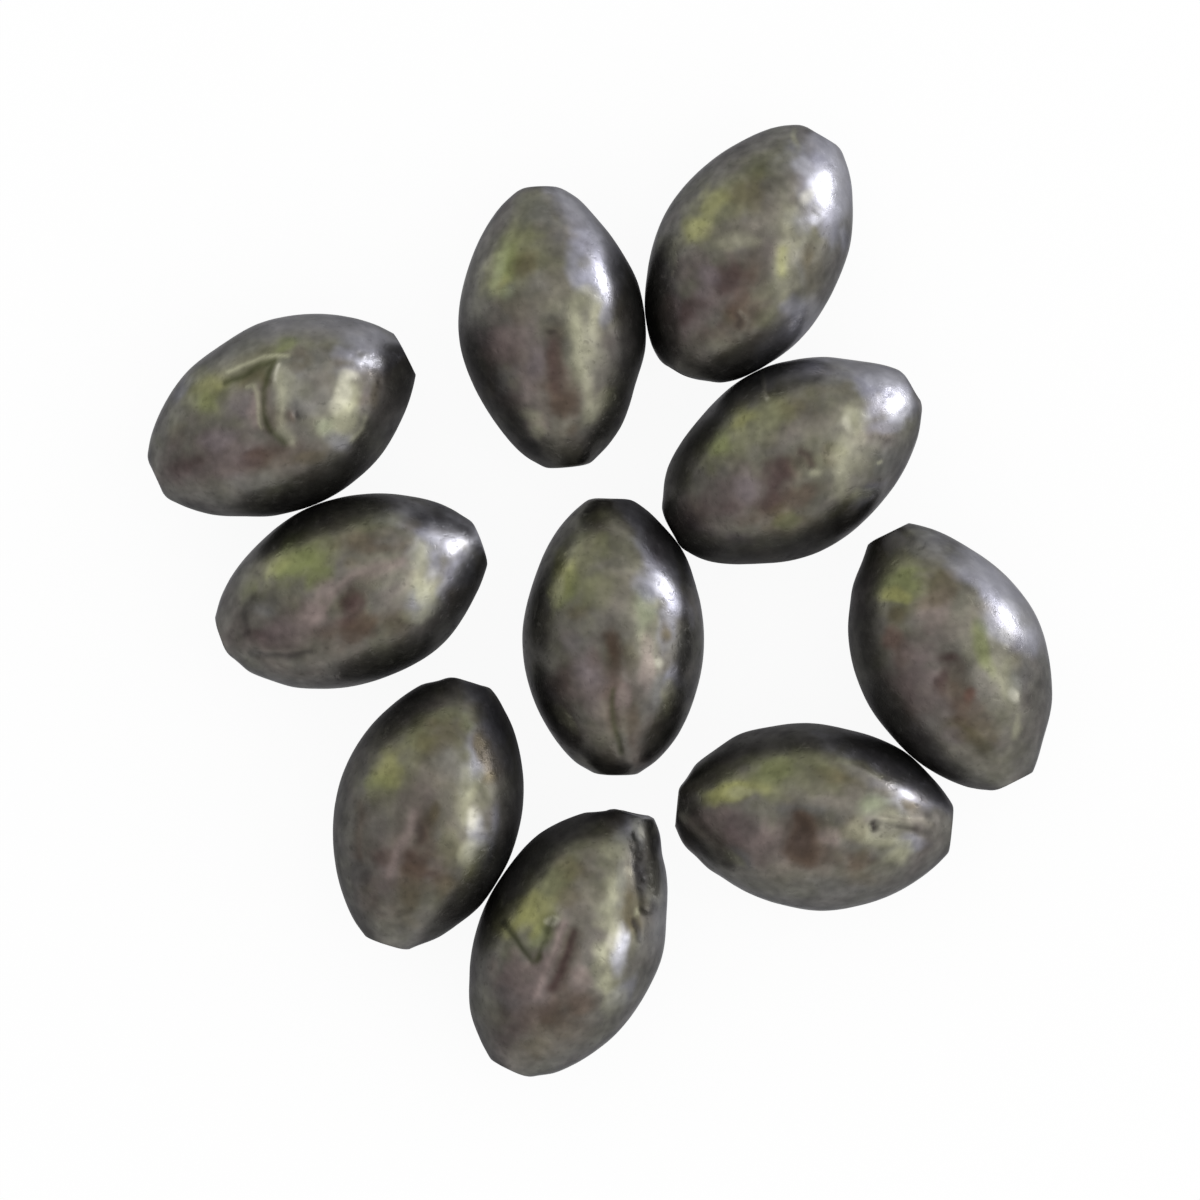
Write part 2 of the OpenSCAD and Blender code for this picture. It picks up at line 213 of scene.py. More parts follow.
castings["top_right"] = {
    "ends": [(59, 0.08, 20, 0.15), (239, 0.18, 20, 0)],
    "grabs": [(340, -0.2, 6), (150, 0.1, 5), (78, 0.15, 3.5), (247, -0.25, 2), (265, 0.11, 2.5),
              (210, 0.11, 3), (225, 0.1, 2), (22, -0.1, 3)],
    "ridges": [
        (0.03, 0.22, [(-0.8, -4), (-0.1, -4.6), (-0.5, -5.3)]),
        (-0.04, 0.25, [(-1, -4.3), (-0.7, -4.6), (-1, -5)]),
        (-0.03, 0.15, [(4.6, 3.6), (5.2, 3.2)]),
        (-0.03, 0.15, [(4.5, 3.2), (5, 2.9)]),
        (0.1, 1.6, [(6.2, 3.4), (5.8, 5.4)]),
    ],
    "pits": [(3.6, -4.5, 0.2, -0.04), (5.8, 6.6, 0.2, 0.03)],
    "stainsAndPaintedLight": [
        ("yellow", -4, 2, 1.2, 1, 50, 0.65), ("yellow", -2.9, 3.9, 1.2, 0.9, 50, 0.5),
        ("umber", 0, 4.6, 1.4, 1.2, 0, 0.45), ("moss", 0.8, 6.8, 1.2, 0.8, 20, 0.3),
        ("lavender", 5.8, 6.6, 1.6, 1.2, -60, 0.7), ("lavender", 6.2, 3, 2.2, 0.9, -80, 0.7),
        ("bright", 5.2, 4.6, 1.3, 0.8, -70, 0.7), ("bright", 5, 2.8, 0.5, 0.4, 0, 0.5),
        ("pale", 3.4, 8.4, 0.9, 0.25, -80, 0.6), ("mauve", -4, -1, 1.2, 1, 0, 0.5),
        ("wine", -1.6, -1.8, 1.6, 1, 70, 0.6), ("brown", -1.4, -4.4, 1.6, 1.2, 20, 0.6),
        ("wine", -4.2, -3.8, 1.2, 0.9, 20, 0.5), ("olive", 1.4, -4.6, 1, 0.8, 0, 0.4),
        ("brown", 0.8, -1.5, 0.8, 1.4, 0, 0.3), ("lilac", -3.2, -2.6, 0.8, 0.6, 40, 0.3),
        ("bone", 3.6, -4.5, 0.2, 0.2, 0, 0.6), ("grey", 2.6, 6.4, 1, 1.2, 0, 0.4),
        ("lavender", 4.3, 5.8, 2.2, 1.5, -70, 0.5), ("bright", 5.2, 4.6, 1.6, 1.2, -75, 0.4),
        ("lavender", 6.3, 2.6, 1.7, 0.8, 80, 0.6), ("slate", 4.4, -0.6, 1.4, 0.8, 80, 0.7),
        ("stone", -0.6, 1.5, 2.4, 0.8, 0, 0.6), ("olive", -5.8, 0.7, 1, 0.9, 0, 0.5),
        ("lilac", -3.2, -1.4, 0.9, 0.7, 0, 0.5), ("brown", -1.5, -3.6, 1.4, 1, 60, 0.45),
        ("wine", -2.2, -5.6, 1.4, 0.7, 0, 0.45), ("lavender", 3.3, -4, 0.9, 0.8, 0, 0.5),
        ("lavender", 3.6, -5.3, 1, 0.7, 50, 0.5), ("umber", 4.2, -0.3, 1, 0.5, 80, 0.4),
        ("bright", 3.8, 6, 1, 0.8, -60, 0.35), ("lilac", -5.5, -3.8, 1.2, 0.6, 60, 0.6),
        ("stone", -5.5, 0.6, 0.9, 0.7, 0, 0.6),
        ("umber", 4.7, -1.3, 2, 0.6, 85, 0.5), ("pale", -0.6, 1, 1.8, 0.6, 0, 0.35),
        ("wine", -2.3, -5.1, 0.9, 0.6, 0, 0.4), ("pale", -5.4, 0.2, 1.1, 0.5, 80, 0.4),
        ("dark", -6.9, -6, 0.7, 0.5, 0, 0.5), ("bright", 6.8, 1.2, 1.1, 0.35, 85, 0.35),
        ("rose", -5.6, -3.9, 1.1, 0.5, 60, 0.5), ("pale", -4.2, 3.9, 0.8, 0.5, 30, 0.35),
        ("grey", 5.4, 6, 0.6, 0.5, 0, 0.2),
        ("rose", -6.3, -3.9, 1.1, 0.5, 60, 0.7), ("lavender", 6.8, 1.3, 1, 0.4, 85, 0.6),
        ("bone", 4.1, 4.3, 0.6, 0.5, 50, 0.45), ("umber", -1.9, -4.6, 0.7, 0.7, 0, 0.35),
    ],
    "streaksAndPaintedLight": [
        ("pale", 0.55, 0.4, [(2.9, 3.4), (2.4, 0.5), (2.3, -0.8), (2.5, -3)]),
        ("yellow", 0.4, 0.5, [(2.35, 0.2), (2.3, -1.2)]),
        ("stone", 0.22, 0.5, [(-0.8, -4), (-0.1, -4.6), (-0.5, -5.3)]),
        ("dark", 0.22, 0.4, [(-1, -4.3), (-0.7, -4.6), (-1, -5)]),
        ("grey", 0.15, 0.6, [(4.6, 3.6), (5.2, 3.2)]),
        ("grey", 0.15, 0.6, [(4.5, 3.2), (5, 2.9)]),
    ],
    "rimShade": [(225, 25, 0.55), (260, 45, 0.45)],
    "shine": [(37, 45, 0.6), (-50, 20, 0.4)],
}

castings["right"] = {
    "ends": [(30, 0.14, 20, 0.12), (210, 0.12, 15, 0)],
    "grabs": [(57, -0.35, 4.5), (85, -0.12, 2.5), (155, -0.2, 4.5), (197, -0.2, 2.5),
              (283, 0.24, 7), (25, 0.15, 1.6), (233, 0.25, 4)],
    "ridges": [
        (0.035, 0.2, [(-1.9, 7), (-2, 6.3), (-2.1, 5.5), (-1.9, 4.9), (-1.6, 4.5)]),
        (-0.04, 0.35, [(0.7, 0.6), (1.2, 0.3), (1.4, -0.3)]),
        (0.1, 1.5, [(8.4, 2.8), (8.2, 3.8)]),
    ],
    "pits": [(6.5, -0.1, 0.2, 0.04), (6.1, -2.6, 0.2, 0.04), (6.9, 1.1, 0.3, 0.05),
             (7.2, 4.7, 0.35, 0.03), (8.1, 3.3, 0.3, 0.03), (6.6, 4.1, 0.3, 0.02)],
    "stainsAndPaintedLight": [
        ("lavender", 6.3, 5.1, 1.6, 0.8, -10, 0.6), ("lavender", 8.6, 4, 1, 1.2, 0, 0.6),
        ("bright", 7.8, 3.8, 0.9, 0.8, 0, 0.7), ("pale", 4.6, 2.7, 1.3, 1.2, 60, 0.65),
        ("dark", 6.9, 1, 0.5, 0.4, 0, 0.4), ("slate", 7.2, -0.2, 1.2, 1.2, 0, 0.5),
        ("yellow", -3.8, 2.8, 1.2, 0.8, 40, 0.6), ("green", -5, 1.4, 1.2, 0.8, 60, 0.6),
        ("olive", -5.8, -0.8, 0.9, 0.7, 60, 0.5), ("olive", -0.6, 3.4, 1.2, 0.8, 0, 0.4),
        ("lilac", -3.1, -2.2, 1, 0.9, 60, 0.6), ("wine", -0.9, -0.9, 1.3, 1, 60, 0.6),
        ("brown", 0.9, -2.8, 1.2, 0.9, 0, 0.5), ("umber", 0.2, -4.8, 1.8, 0.8, 10, 0.5),
        ("green", -0.2, -4.4, 0.8, 0.5, 0, 0.3), ("wine", -4.6, -3.4, 1.3, 0.7, 0, 0.4),
        ("pale", 1.6, -1, 0.5, 0.4, 0, 0.4), ("slate", 1.2, 5.9, 2.2, 0.7, -10, 0.5),
        ("pale", 6.5, -0.1, 0.2, 0.1, 0, 0.5), ("pale", 6.1, -2.6, 0.25, 0.1, 0, 0.5),
        ("pale", 2.4, 6.4, 0.25, 0.1, 0, 0.4),
        ("grey", 1.8, 6.2, 1.8, 0.6, -5, 0.5), ("lavender", 5.9, 4.6, 0.9, 0.6, 0, 0.4),
        ("pale", 4.5, 3, 0.9, 0.7, 0, 0.4), ("yellow", -3, 3.1, 0.8, 0.5, 0, 0.3),
        ("umber", 0.5, 3.9, 1.3, 0.9, 0, 0.4), ("umber", 2.9, 0, 0.7, 0.7, 0, 0.4),
        ("dark", -1, -1.8, 1.2, 0.8, 20, 0.35), ("wine", -1.6, -3, 0.9, 0.7, 0, 0.5),
        ("brown", -3, -4.5, 0.8, 0.5, 0, 0.3), ("stone", 4.8, -3, 1.3, 0.7, 20, 0.7),
        ("lavender", 5.4, -2.7, 1.2, 0.7, 30, 0.7), ("lavender", 1.8, 6.7, 1.5, 0.5, 0, 0.6),
        ("slate", -2, 5.5, 0.9, 0.6, 0, 0.5), ("bright", 8.6, 4.3, 0.8, 0.6, 0, 0.6),
        ("brown", -1.9, -7, 2, 0.5, 0, 0.5), ("bone", 4, 2.5, 0.9, 0.6, 60, 0.4),
        ("bright", 6.8, 5.4, 1.2, 0.5, -10, 0.5), ("stone", 4.4, -3.6, 0.8, 0.4, 20, 0.5),
        ("pale", 4.8, -2.5, 0.9, 0.5, 20, 0.6), ("bright", 5.8, -2.7, 0.7, 0.4, 30, 0.35),
        ("lavender", 6.9, 2.3, 1.3, 0.5, 0, 0.4), ("olive", 3.5, 0.6, 0.6, 0.5, 0, 0.4),
        ("wine", -1.5, -1.7, 0.8, 0.7, 0, 0.35), ("umber", -0.6, -3.7, 0.8, 0.5, 0, 0.4),
        ("grey", -2, 5.4, 0.7, 0.5, 0, 0.6), ("umber", 3.4, 0.6, 0.6, 0.5, 0, 0.3),
        ("pale", 5.2, -2.6, 1.1, 0.4, 10, 0.55), ("moss", -4.4, 2.7, 0.5, 0.5, 0, 0.45),
        ("grey", 3.7, -4.2, 0.7, 0.4, 0, 0.6), ("lilac", -3.7, -5.8, 0.8, 0.5, 0, 0.5),
        ("bright", 8.6, 4.1, 0.5, 0.5, 0, 0.35), ("bone", 4.3, 2.1, 0.6, 0.5, 0, 0.35),
    ],
    "streaksAndPaintedLight": [
        ("pale", 0.6, 0.4, [(3.8, 1.2), (3.5, 0), (3.5, -1.5), (3.7, -2.6)]),
        ("bone", 0.14, 0.5, [(-1.9, 7), (-2, 6.3), (-2.1, 5.5), (-1.9, 4.9), (-1.6, 4.5)]),
        ("wine", 0.35, 0.6, [(0.7, 0.6), (1.2, 0.3), (1.4, -0.3)]),
    ],
    "rimShade": [(180, 60, 0.45), (265, 40, 0.8), (205, 25, 0.6)],
    "shine": [(75, 30, 0.3), (120, 25, 0.2)],
}

castings["centre"] = {
    "ends": [(91, 0.1, 15, 0.12), (271, 0.14, 6, 0)],
    "grabs": [(147, -0.2, 5), (262, -0.12, 2), (302, 0.14, 4), (50, 0.18, 3)],
    "ridges": [
        (-0.06, 0.25, [(0, -3.8), (0.2, -6), (0.5, -8.2)]),
        (0.02, 0.3, [(-0.5, -4.6), (-0.6, -6), (-0.2, -7.8)]),
        (0.02, 0.3, [(0.8, -4), (0.9, -5.4), (1, -7)]),
        (0.08, 1.4, [(4.7, 4.8), (5.4, 2.8), (5.6, 1)]),
    ],
    "pits": [],
    "stainsAndPaintedLight": [
        ("green", -3.4, 3.9, 1.6, 1, 80, 0.65), ("olive", -3, 6.2, 1.2, 1, 60, 0.6),
        ("olive", -1.2, 7, 1, 0.8, 0, 0.4), ("umber", -2.4, 1.8, 0.9, 0.8, 0, 0.5),
        ("olive", -4.2, 4.9, 1.5, 0.5, 80, 0.6), ("lavender", 3.4, 4.2, 1.6, 0.7, -50, 0.6),
        ("bright", 3.8, 3.6, 1.1, 0.5, -50, 0.7), ("paleGreen", 2.3, 2, 1.2, 0.7, 85, 0.45),
        ("rose", 2.5, -2.4, 1.8, 0.5, 90, 0.5), ("bone", 3.45, -1.8, 0.5, 0.4, 60, 0.35),
        ("lavender", 4.1, 0.4, 2, 0.7, 90, 0.5), ("slate", 5.1, -0.4, 1.6, 0.6, 90, 0.5),
        ("brown", 0, -0.7, 1.5, 0.7, 90, 0.8), ("umber", 1.2, -1.2, 1.2, 0.4, 90, 0.35),
        ("lilac", -1.8, -2.2, 1.4, 0.9, 70, 0.5), ("wine", -3.6, -2.8, 1.2, 0.7, 80, 0.4),
        ("grey", -2.4, -0.6, 1, 0.8, 0, 0.4), ("dark", 3.4, 7, 1.8, 0.6, -55, 0.4),
        ("grey", 3.4, -4, 1.2, 0.7, 80, 0.4),
        ("yellow", -3.4, 4.9, 1.9, 0.9, 80, 0.45), ("bright", 3.3, 3.8, 1, 0.7, -60, 0.5),
        ("lavender", 4.6, 2.6, 1.1, 0.5, -80, 0.6), ("brown", -1.3, -1.5, 0.6, 0.8, 0, 0.4),
        ("grey", 3.2, -4.4, 1.4, 1, 80, 0.6), ("lavender", 4.4, -3, 1.4, 0.5, 90, 0.5),
        ("brown", 1.5, -7.3, 1.8, 0.6, 90, 0.5), ("olive", -1.5, 3.6, 1.6, 2, 0, 0.4),
        ("rose", 0.8, -4.4, 0.9, 0.45, 90, 0.6), ("stone", 3.9, -4.8, 1.2, 0.6, 70, 0.6),
        ("yellow", -3.7, 5.4, 1.3, 0.6, 70, 0.5), ("dark", 5.6, -3.8, 1.2, 0.45, 80, 0.4),
        ("stone", -3.3, -6, 1.3, 0.6, -50, 0.5), ("umber", 3.9, 0.3, 1.1, 0.4, 90, 0.4),
        ("lavender", 5, 2.5, 1.2, 0.5, -80, 0.5), ("brown", 2.3, -9.1, 0.9, 0.5, 0, 0.6),
        ("umber", 4, 0.1, 0.9, 0.4, 90, 0.5), ("pale", 2.9, 2.5, 0.7, 0.5, 0, 0.5),
        ("lavender", 2.5, 3.3, 0.8, 0.5, -60, 0.5), ("yellow", -3.8, 5, 1.6, 0.4, 75, 0.5),
        ("pale", 3.9, -4.8, 1.1, 0.6, 70, 0.5), ("pale", -3.5, -5.8, 1.1, 0.5, -50, 0.35),
        ("dark", 3.6, 7.9, 0.8, 0.5, -55, 0.55), ("dark", 5, 6, 0.9, 0.45, -65, 0.5),
        ("brown", 2.3, -9.1, 0.6, 0.5, 0, 0.5), ("pale", -3.3, 6, 0.9, 0.5, 60, 0.45),
        ("dark", 5.6, -3.8, 1, 0.3, 80, 0.45), ("pale", -3.9, 3.8, 1.7, 0.4, 82, 0.35),
        ("lavender", 5.6, 1.4, 0.9, 0.3, -85, 0.4), ("pale", -3.3, -6, 1, 0.5, -50, 0.4),
        ("umber", 4.1, 0.1, 0.7, 0.35, 90, 0.35), ("stone", 3.9, -4.9, 0.8, 0.5, 70, 0.5),
        ("pale", 3.9, -5.1, 0.9, 0.4, 75, 0.5), ("pale", -3.1, 6.4, 0.6, 0.4, 0, 0.45),
        ("slate", 4.2, 1.7, 0.4, 0.5, 0, 0.3), ("rose", 0.9, -4.6, 0.4, 0.5, 0, 0.5),
        ("umber", 4.1, -0.1, 0.5, 0.5, 0, 0.4), ("yellow", -3.9, 4.9, 0.6, 0.4, 80, 0.45),
    ],
    "streaksAndPaintedLight": [
        ("moss", 0.25, 0.65, [(0, -3.8), (0.2, -6), (0.5, -8.2)]),
        ("stone", 0.3, 0.4, [(-0.5, -4.8), (-0.6, -6), (-0.2, -7.8)]),
        ("stone", 0.3, 0.3, [(0.8, -4), (0.9, -5.4), (1, -6.6)]),
    ],
    "rimShade": [(50, 40, 0.8), (68, 25, 1), (180, 60, 0.15)],
    "shine": [],
}

castings["far_right"] = {
    "ends": [],
    "grabs": [(25, 0.16, 4.5), (80, -0.15, 3.5), (133, -0.25, 2.5), (150, -0.1, 2.5),
              (232, -0.08, 3), (287, -0.15, 2), (320, -0.2, 3), (295, -0.1, 1.5)],
    "ridges": [(0.1, 1.6, [(4.6, 4.2), (5.4, 2.6)])],
    "pits": [(-2, 8.2, 0.25, 0.04)],
    "stainsAndPaintedLight": [
        ("green", -3.4, 5.4, 1.6, 1, 30, 0.6), ("yellow", -4.3, 4.5, 0.9, 0.5, 0, 0.75),
        ("umber", -4, 3.1, 0.9, 0.6, 0, 0.6), ("rust", -4.4, 1.2, 0.8, 0.8, 80, 0.4),
        ("brown", -3.4, 0.4, 1.2, 0.7, 80, 0.4), ("rose", -1.2, 3.6, 1.8, 1.2, 60, 0.55),
        ("mauve", -1.8, 0.6, 1.2, 1, 0, 0.4), ("wine", 0, 0.1, 0.8, 0.5, 0, 0.7),
        ("wine", -0.35, -1.3, 1.3, 0.5, 80, 0.7), ("rust", 1.3, -2.8, 0.6, 0.4, 70, 0.5),
        ("green", 2.3, 0.8, 1.7, 0.6, -70, 0.6), ("bright", 4.6, 3.4, 1.1, 0.6, -50, 0.7),
        ("lavender", 3, 5, 1.8, 0.9, -45, 0.6), ("lavender", 5.6, 1.2, 1.2, 0.7, -70, 0.5),
        ("dark", 4.3, 0.6, 0.7, 0.5, 60, 0.35), ("pale", 3.9, -2.1, 0.8, 0.4, -60, 0.35),
        ("bone", 4.5, -2.8, 0.5, 0.3, -60, 0.6), ("pale", 4.7, -5, 1.1, 0.35, 80, 0.4),
        ("umber", 0.6, -4.8, 1.2, 0.8, 0, 0.4), ("moss", 2.2, -6.2, 1.4, 0.7, -40, 0.4),
        ("grey", -1.5, -5, 1.2, 0.8, 0, 0.3), ("lilac", 0.3, -5.6, 0.8, 0.6, 0, 0.3),
        ("grey", -1.8, 8, 1.8, 0.9, -20, 0.5),
        ("lavender", 4.2, 5.1, 1.6, 0.7, -50, 0.6), ("lavender", 6.1, 1.4, 1.4, 0.5, -80, 0.6),
        ("dark", 4.6, 1, 1.3, 0.6, -75, 0.45), ("slate", 5, -1.4, 1.4, 0.8, 80, 0.7),
        ("umber", -0.9, 5.2, 1.3, 1.2, 0, 0.5), ("yellow", -3.9, 4.6, 1, 0.5, 0, 0.4),
        ("brown", 0.3, -2.8, 1, 1.2, 0, 0.5), ("umber", 2.3, -5.4, 1, 1, 0, 0.35),
        ("stone", -1.9, 1.6, 1.2, 0.7, 60, 0.3),
        ("dark", 5.3, -1.9, 1.7, 0.45, 88, 0.5), ("slate", 3.9, 1.7, 0.7, 0.5, -60, 0.5),
        ("grey", -3, 8.9, 0.9, 0.4, 0, 0.6), ("umber", -1.7, 3.8, 0.8, 0.6, 0, 0.4),
        ("brown", 0.6, -3.6, 0.8, 0.8, 0, 0.4),
        ("dark", 5.6, -1.8, 1.9, 0.5, 88, 0.45), ("yellow", -3.7, 4.4, 0.7, 0.4, 0, 0.5),
        ("grey", 3.9, 1.8, 0.5, 0.5, 0, 0.4), ("pale", -3, 8.9, 0.6, 0.4, 0, 0.5),
        ("umber", 4.8, -0.5, 0.8, 0.5, 80, 0.3), ("yellow", -3.8, 4.4, 0.5, 0.4, 0, 0.4),
        ("umber", 3.1, -5.5, 0.9, 0.6, 60, 0.35), ("rose", -1.5, 1.9, 0.5, 0.5, 0, 0.4),
    ],
    "streaksAndPaintedLight": [("lavender", 0.5, 0.3, [(2.4, 5.3), (3.6, 4), (5.6, 1.6)])],
    "rimShade": [(200, 70, 0.65), (240, 40, 0.5)],
    "shine": [(37, 28, 0.45), (116, 20, 0.4)],
}

castings["lower_left"] = {
    "ends": [(73, 0.04, 6, 0)],
    "grabs": [(84, -0.28, 1.8), (45, 0.07, 3), (200, -0.13, 7), (265, -0.15, 2), (300, 0.12, 2.5),
              (246, -0.1, 2), (60, 0.1, 1.5), (327, 0.04, 3)],
    "ridges": [
        (0.03, 0.3, [(2.9, 3.2), (2.9, 1), (3.1, -1)]),
        (-0.03, 0.35, [(-5.05, 0.9), (-5.05, -3.1)]),
        (0.12, 1.6, [(4.8, 1.4), (4.8, -1.4)]),
    ],
    "pits": [(4, -1, 0.25, 0.04)],
    "stainsAndPaintedLight": [
        ("yellow", -2.9, 3.4, 1.2, 1.1, 60, 0.6), ("green", -3.6, 2.2, 1, 0.8, 0, 0.4),
        ("olive", -0.9, 5.2, 1.4, 0.8, 20, 0.5), ("olive", 1.4, 7, 1.2, 0.8, 10, 0.45),
        ("green", 3.1, 6.6, 0.7, 1, 0, 0.4), ("grey", 1.4, 3.8, 1.1, 1.2, 0, 0.5),
        ("dark", 3.9, 4.9, 1, 0.6, -70, 0.5), ("umber", 1, 5.4, 2.2, 1, 20, 0.45),
        ("brown", 4.6, 3, 1.5, 0.8, -85, 0.3), ("bright", 3.6, -1, 1.2, 0.5, -85, 0.35),
        ("lavender", 3.9, -2.6, 1.2, 0.7, 80, 0.5), ("umber", 0.4, 0, 0.8, 0.5, 60, 0.6),
        ("wine", -0.6, -1.8, 1.3, 0.4, 70, 0.6), ("wine", -3.2, -3.2, 1.3, 0.9, 0, 0.5),
        ("wine", -0.8, -3.6, 0.8, 0.8, 0, 0.5), ("grey", -3.4, -1, 1.2, 1.4, 0, 0.35),
        ("moss", -0.8, -6.2, 1.8, 1.2, 0, 0.4), ("slate", -4.6, -4.2, 0.9, 1, 0, 0.4),
        ("olive", 1.4, -2.2, 1, 1.6, 0, 0.4),
        ("umber", -1.2, 0, 4.5, 6, 0, 0.2), ("brown", -0.4, -4.5, 1.4, 0.7, 0, 0.5),
        ("dark", 1.6, -6.2, 0.8, 0.7, 0, 0.3), ("pale", 3.3, -3.3, 1.3, 0.7, 75, 0.55),
        ("umber", 3.3, 0, 0.6, 0.6, 0, 0.3),
        ("umber", 4.2, 4.2, 2.3, 0.6, -75, 0.75), ("dark", 4.4, 3.6, 1.2, 0.5, -80, 0.4),
        ("dark", -5.1, -3.7, 1.8, 0.5, 85, 0.5), ("dark", -0.8, -1.6, 0.9, 0.4, 70, 0.5),
        ("umber", 0.8, -5.1, 1, 0.8, 0, 0.5),
        ("lavender", 4.8, -0.7, 1.4, 0.45, 88, 0.5), ("pale", 3.3, 1.8, 0.8, 0.4, 88, 0.4),
        ("dark", 4.8, 2.9, 0.9, 0.4, -80, 0.35), ("wine", 0.1, -4.7, 0.8, 0.6, 0, 0.4),
        ("umber", -0.9, -8, 1.2, 0.6, 0, 0.35),
        ("dark", 3, 8.9, 0.7, 0.5, 0, 0.45), ("umber", 3.2, 7.6, 0.9, 0.5, 0, 0.5),
        ("dark", 5.7, -3, 0.9, 0.35, 80, 0.5), ("dark", 4.6, 2.7, 0.8, 0.4, -85, 0.4),
        ("dark", -4.5, -4.8, 0.8, 0.5, 80, 0.35), ("umber", 4.2, 5.3, 0.7, 0.5, -60, 0.35),
        ("umber", 4.4, 2.4, 0.6, 0.5, 0, 0.5), ("umber", 3.3, 6.9, 0.6, 0.5, 0, 0.4),
        ("dark", 5.6, -3.3, 0.9, 0.4, 80, 0.5), ("umber", 0.2, 6.3, 0.6, 0.5, 0, 0.4),
    ],
    "streaksAndPaintedLight": [
        ("rose", 0.42, 0.6, [(-2.7, -4.4), (-1.9, -2.4), (-0.9, -0.3)]),
        ("pale", 0.42, 0.4, [(2.7, 3.2), (2.7, 1), (2.9, -0.6)]),
        ("bone", 0.35, 0.5, [(3.3, 0), (3.4, -1.2)]),
        ("brown", 0.35, 0.5, [(-5.05, 0.9), (-5.05, -3.1)]),
    ],
    "rimShade": [(120, 50, 0.6), (0, 50, 0.9), (-45, 35, 0.5), (195, 60, 0.45), (225, 25, 0.6), (68, 40, 1)],
    "shine": [],
}

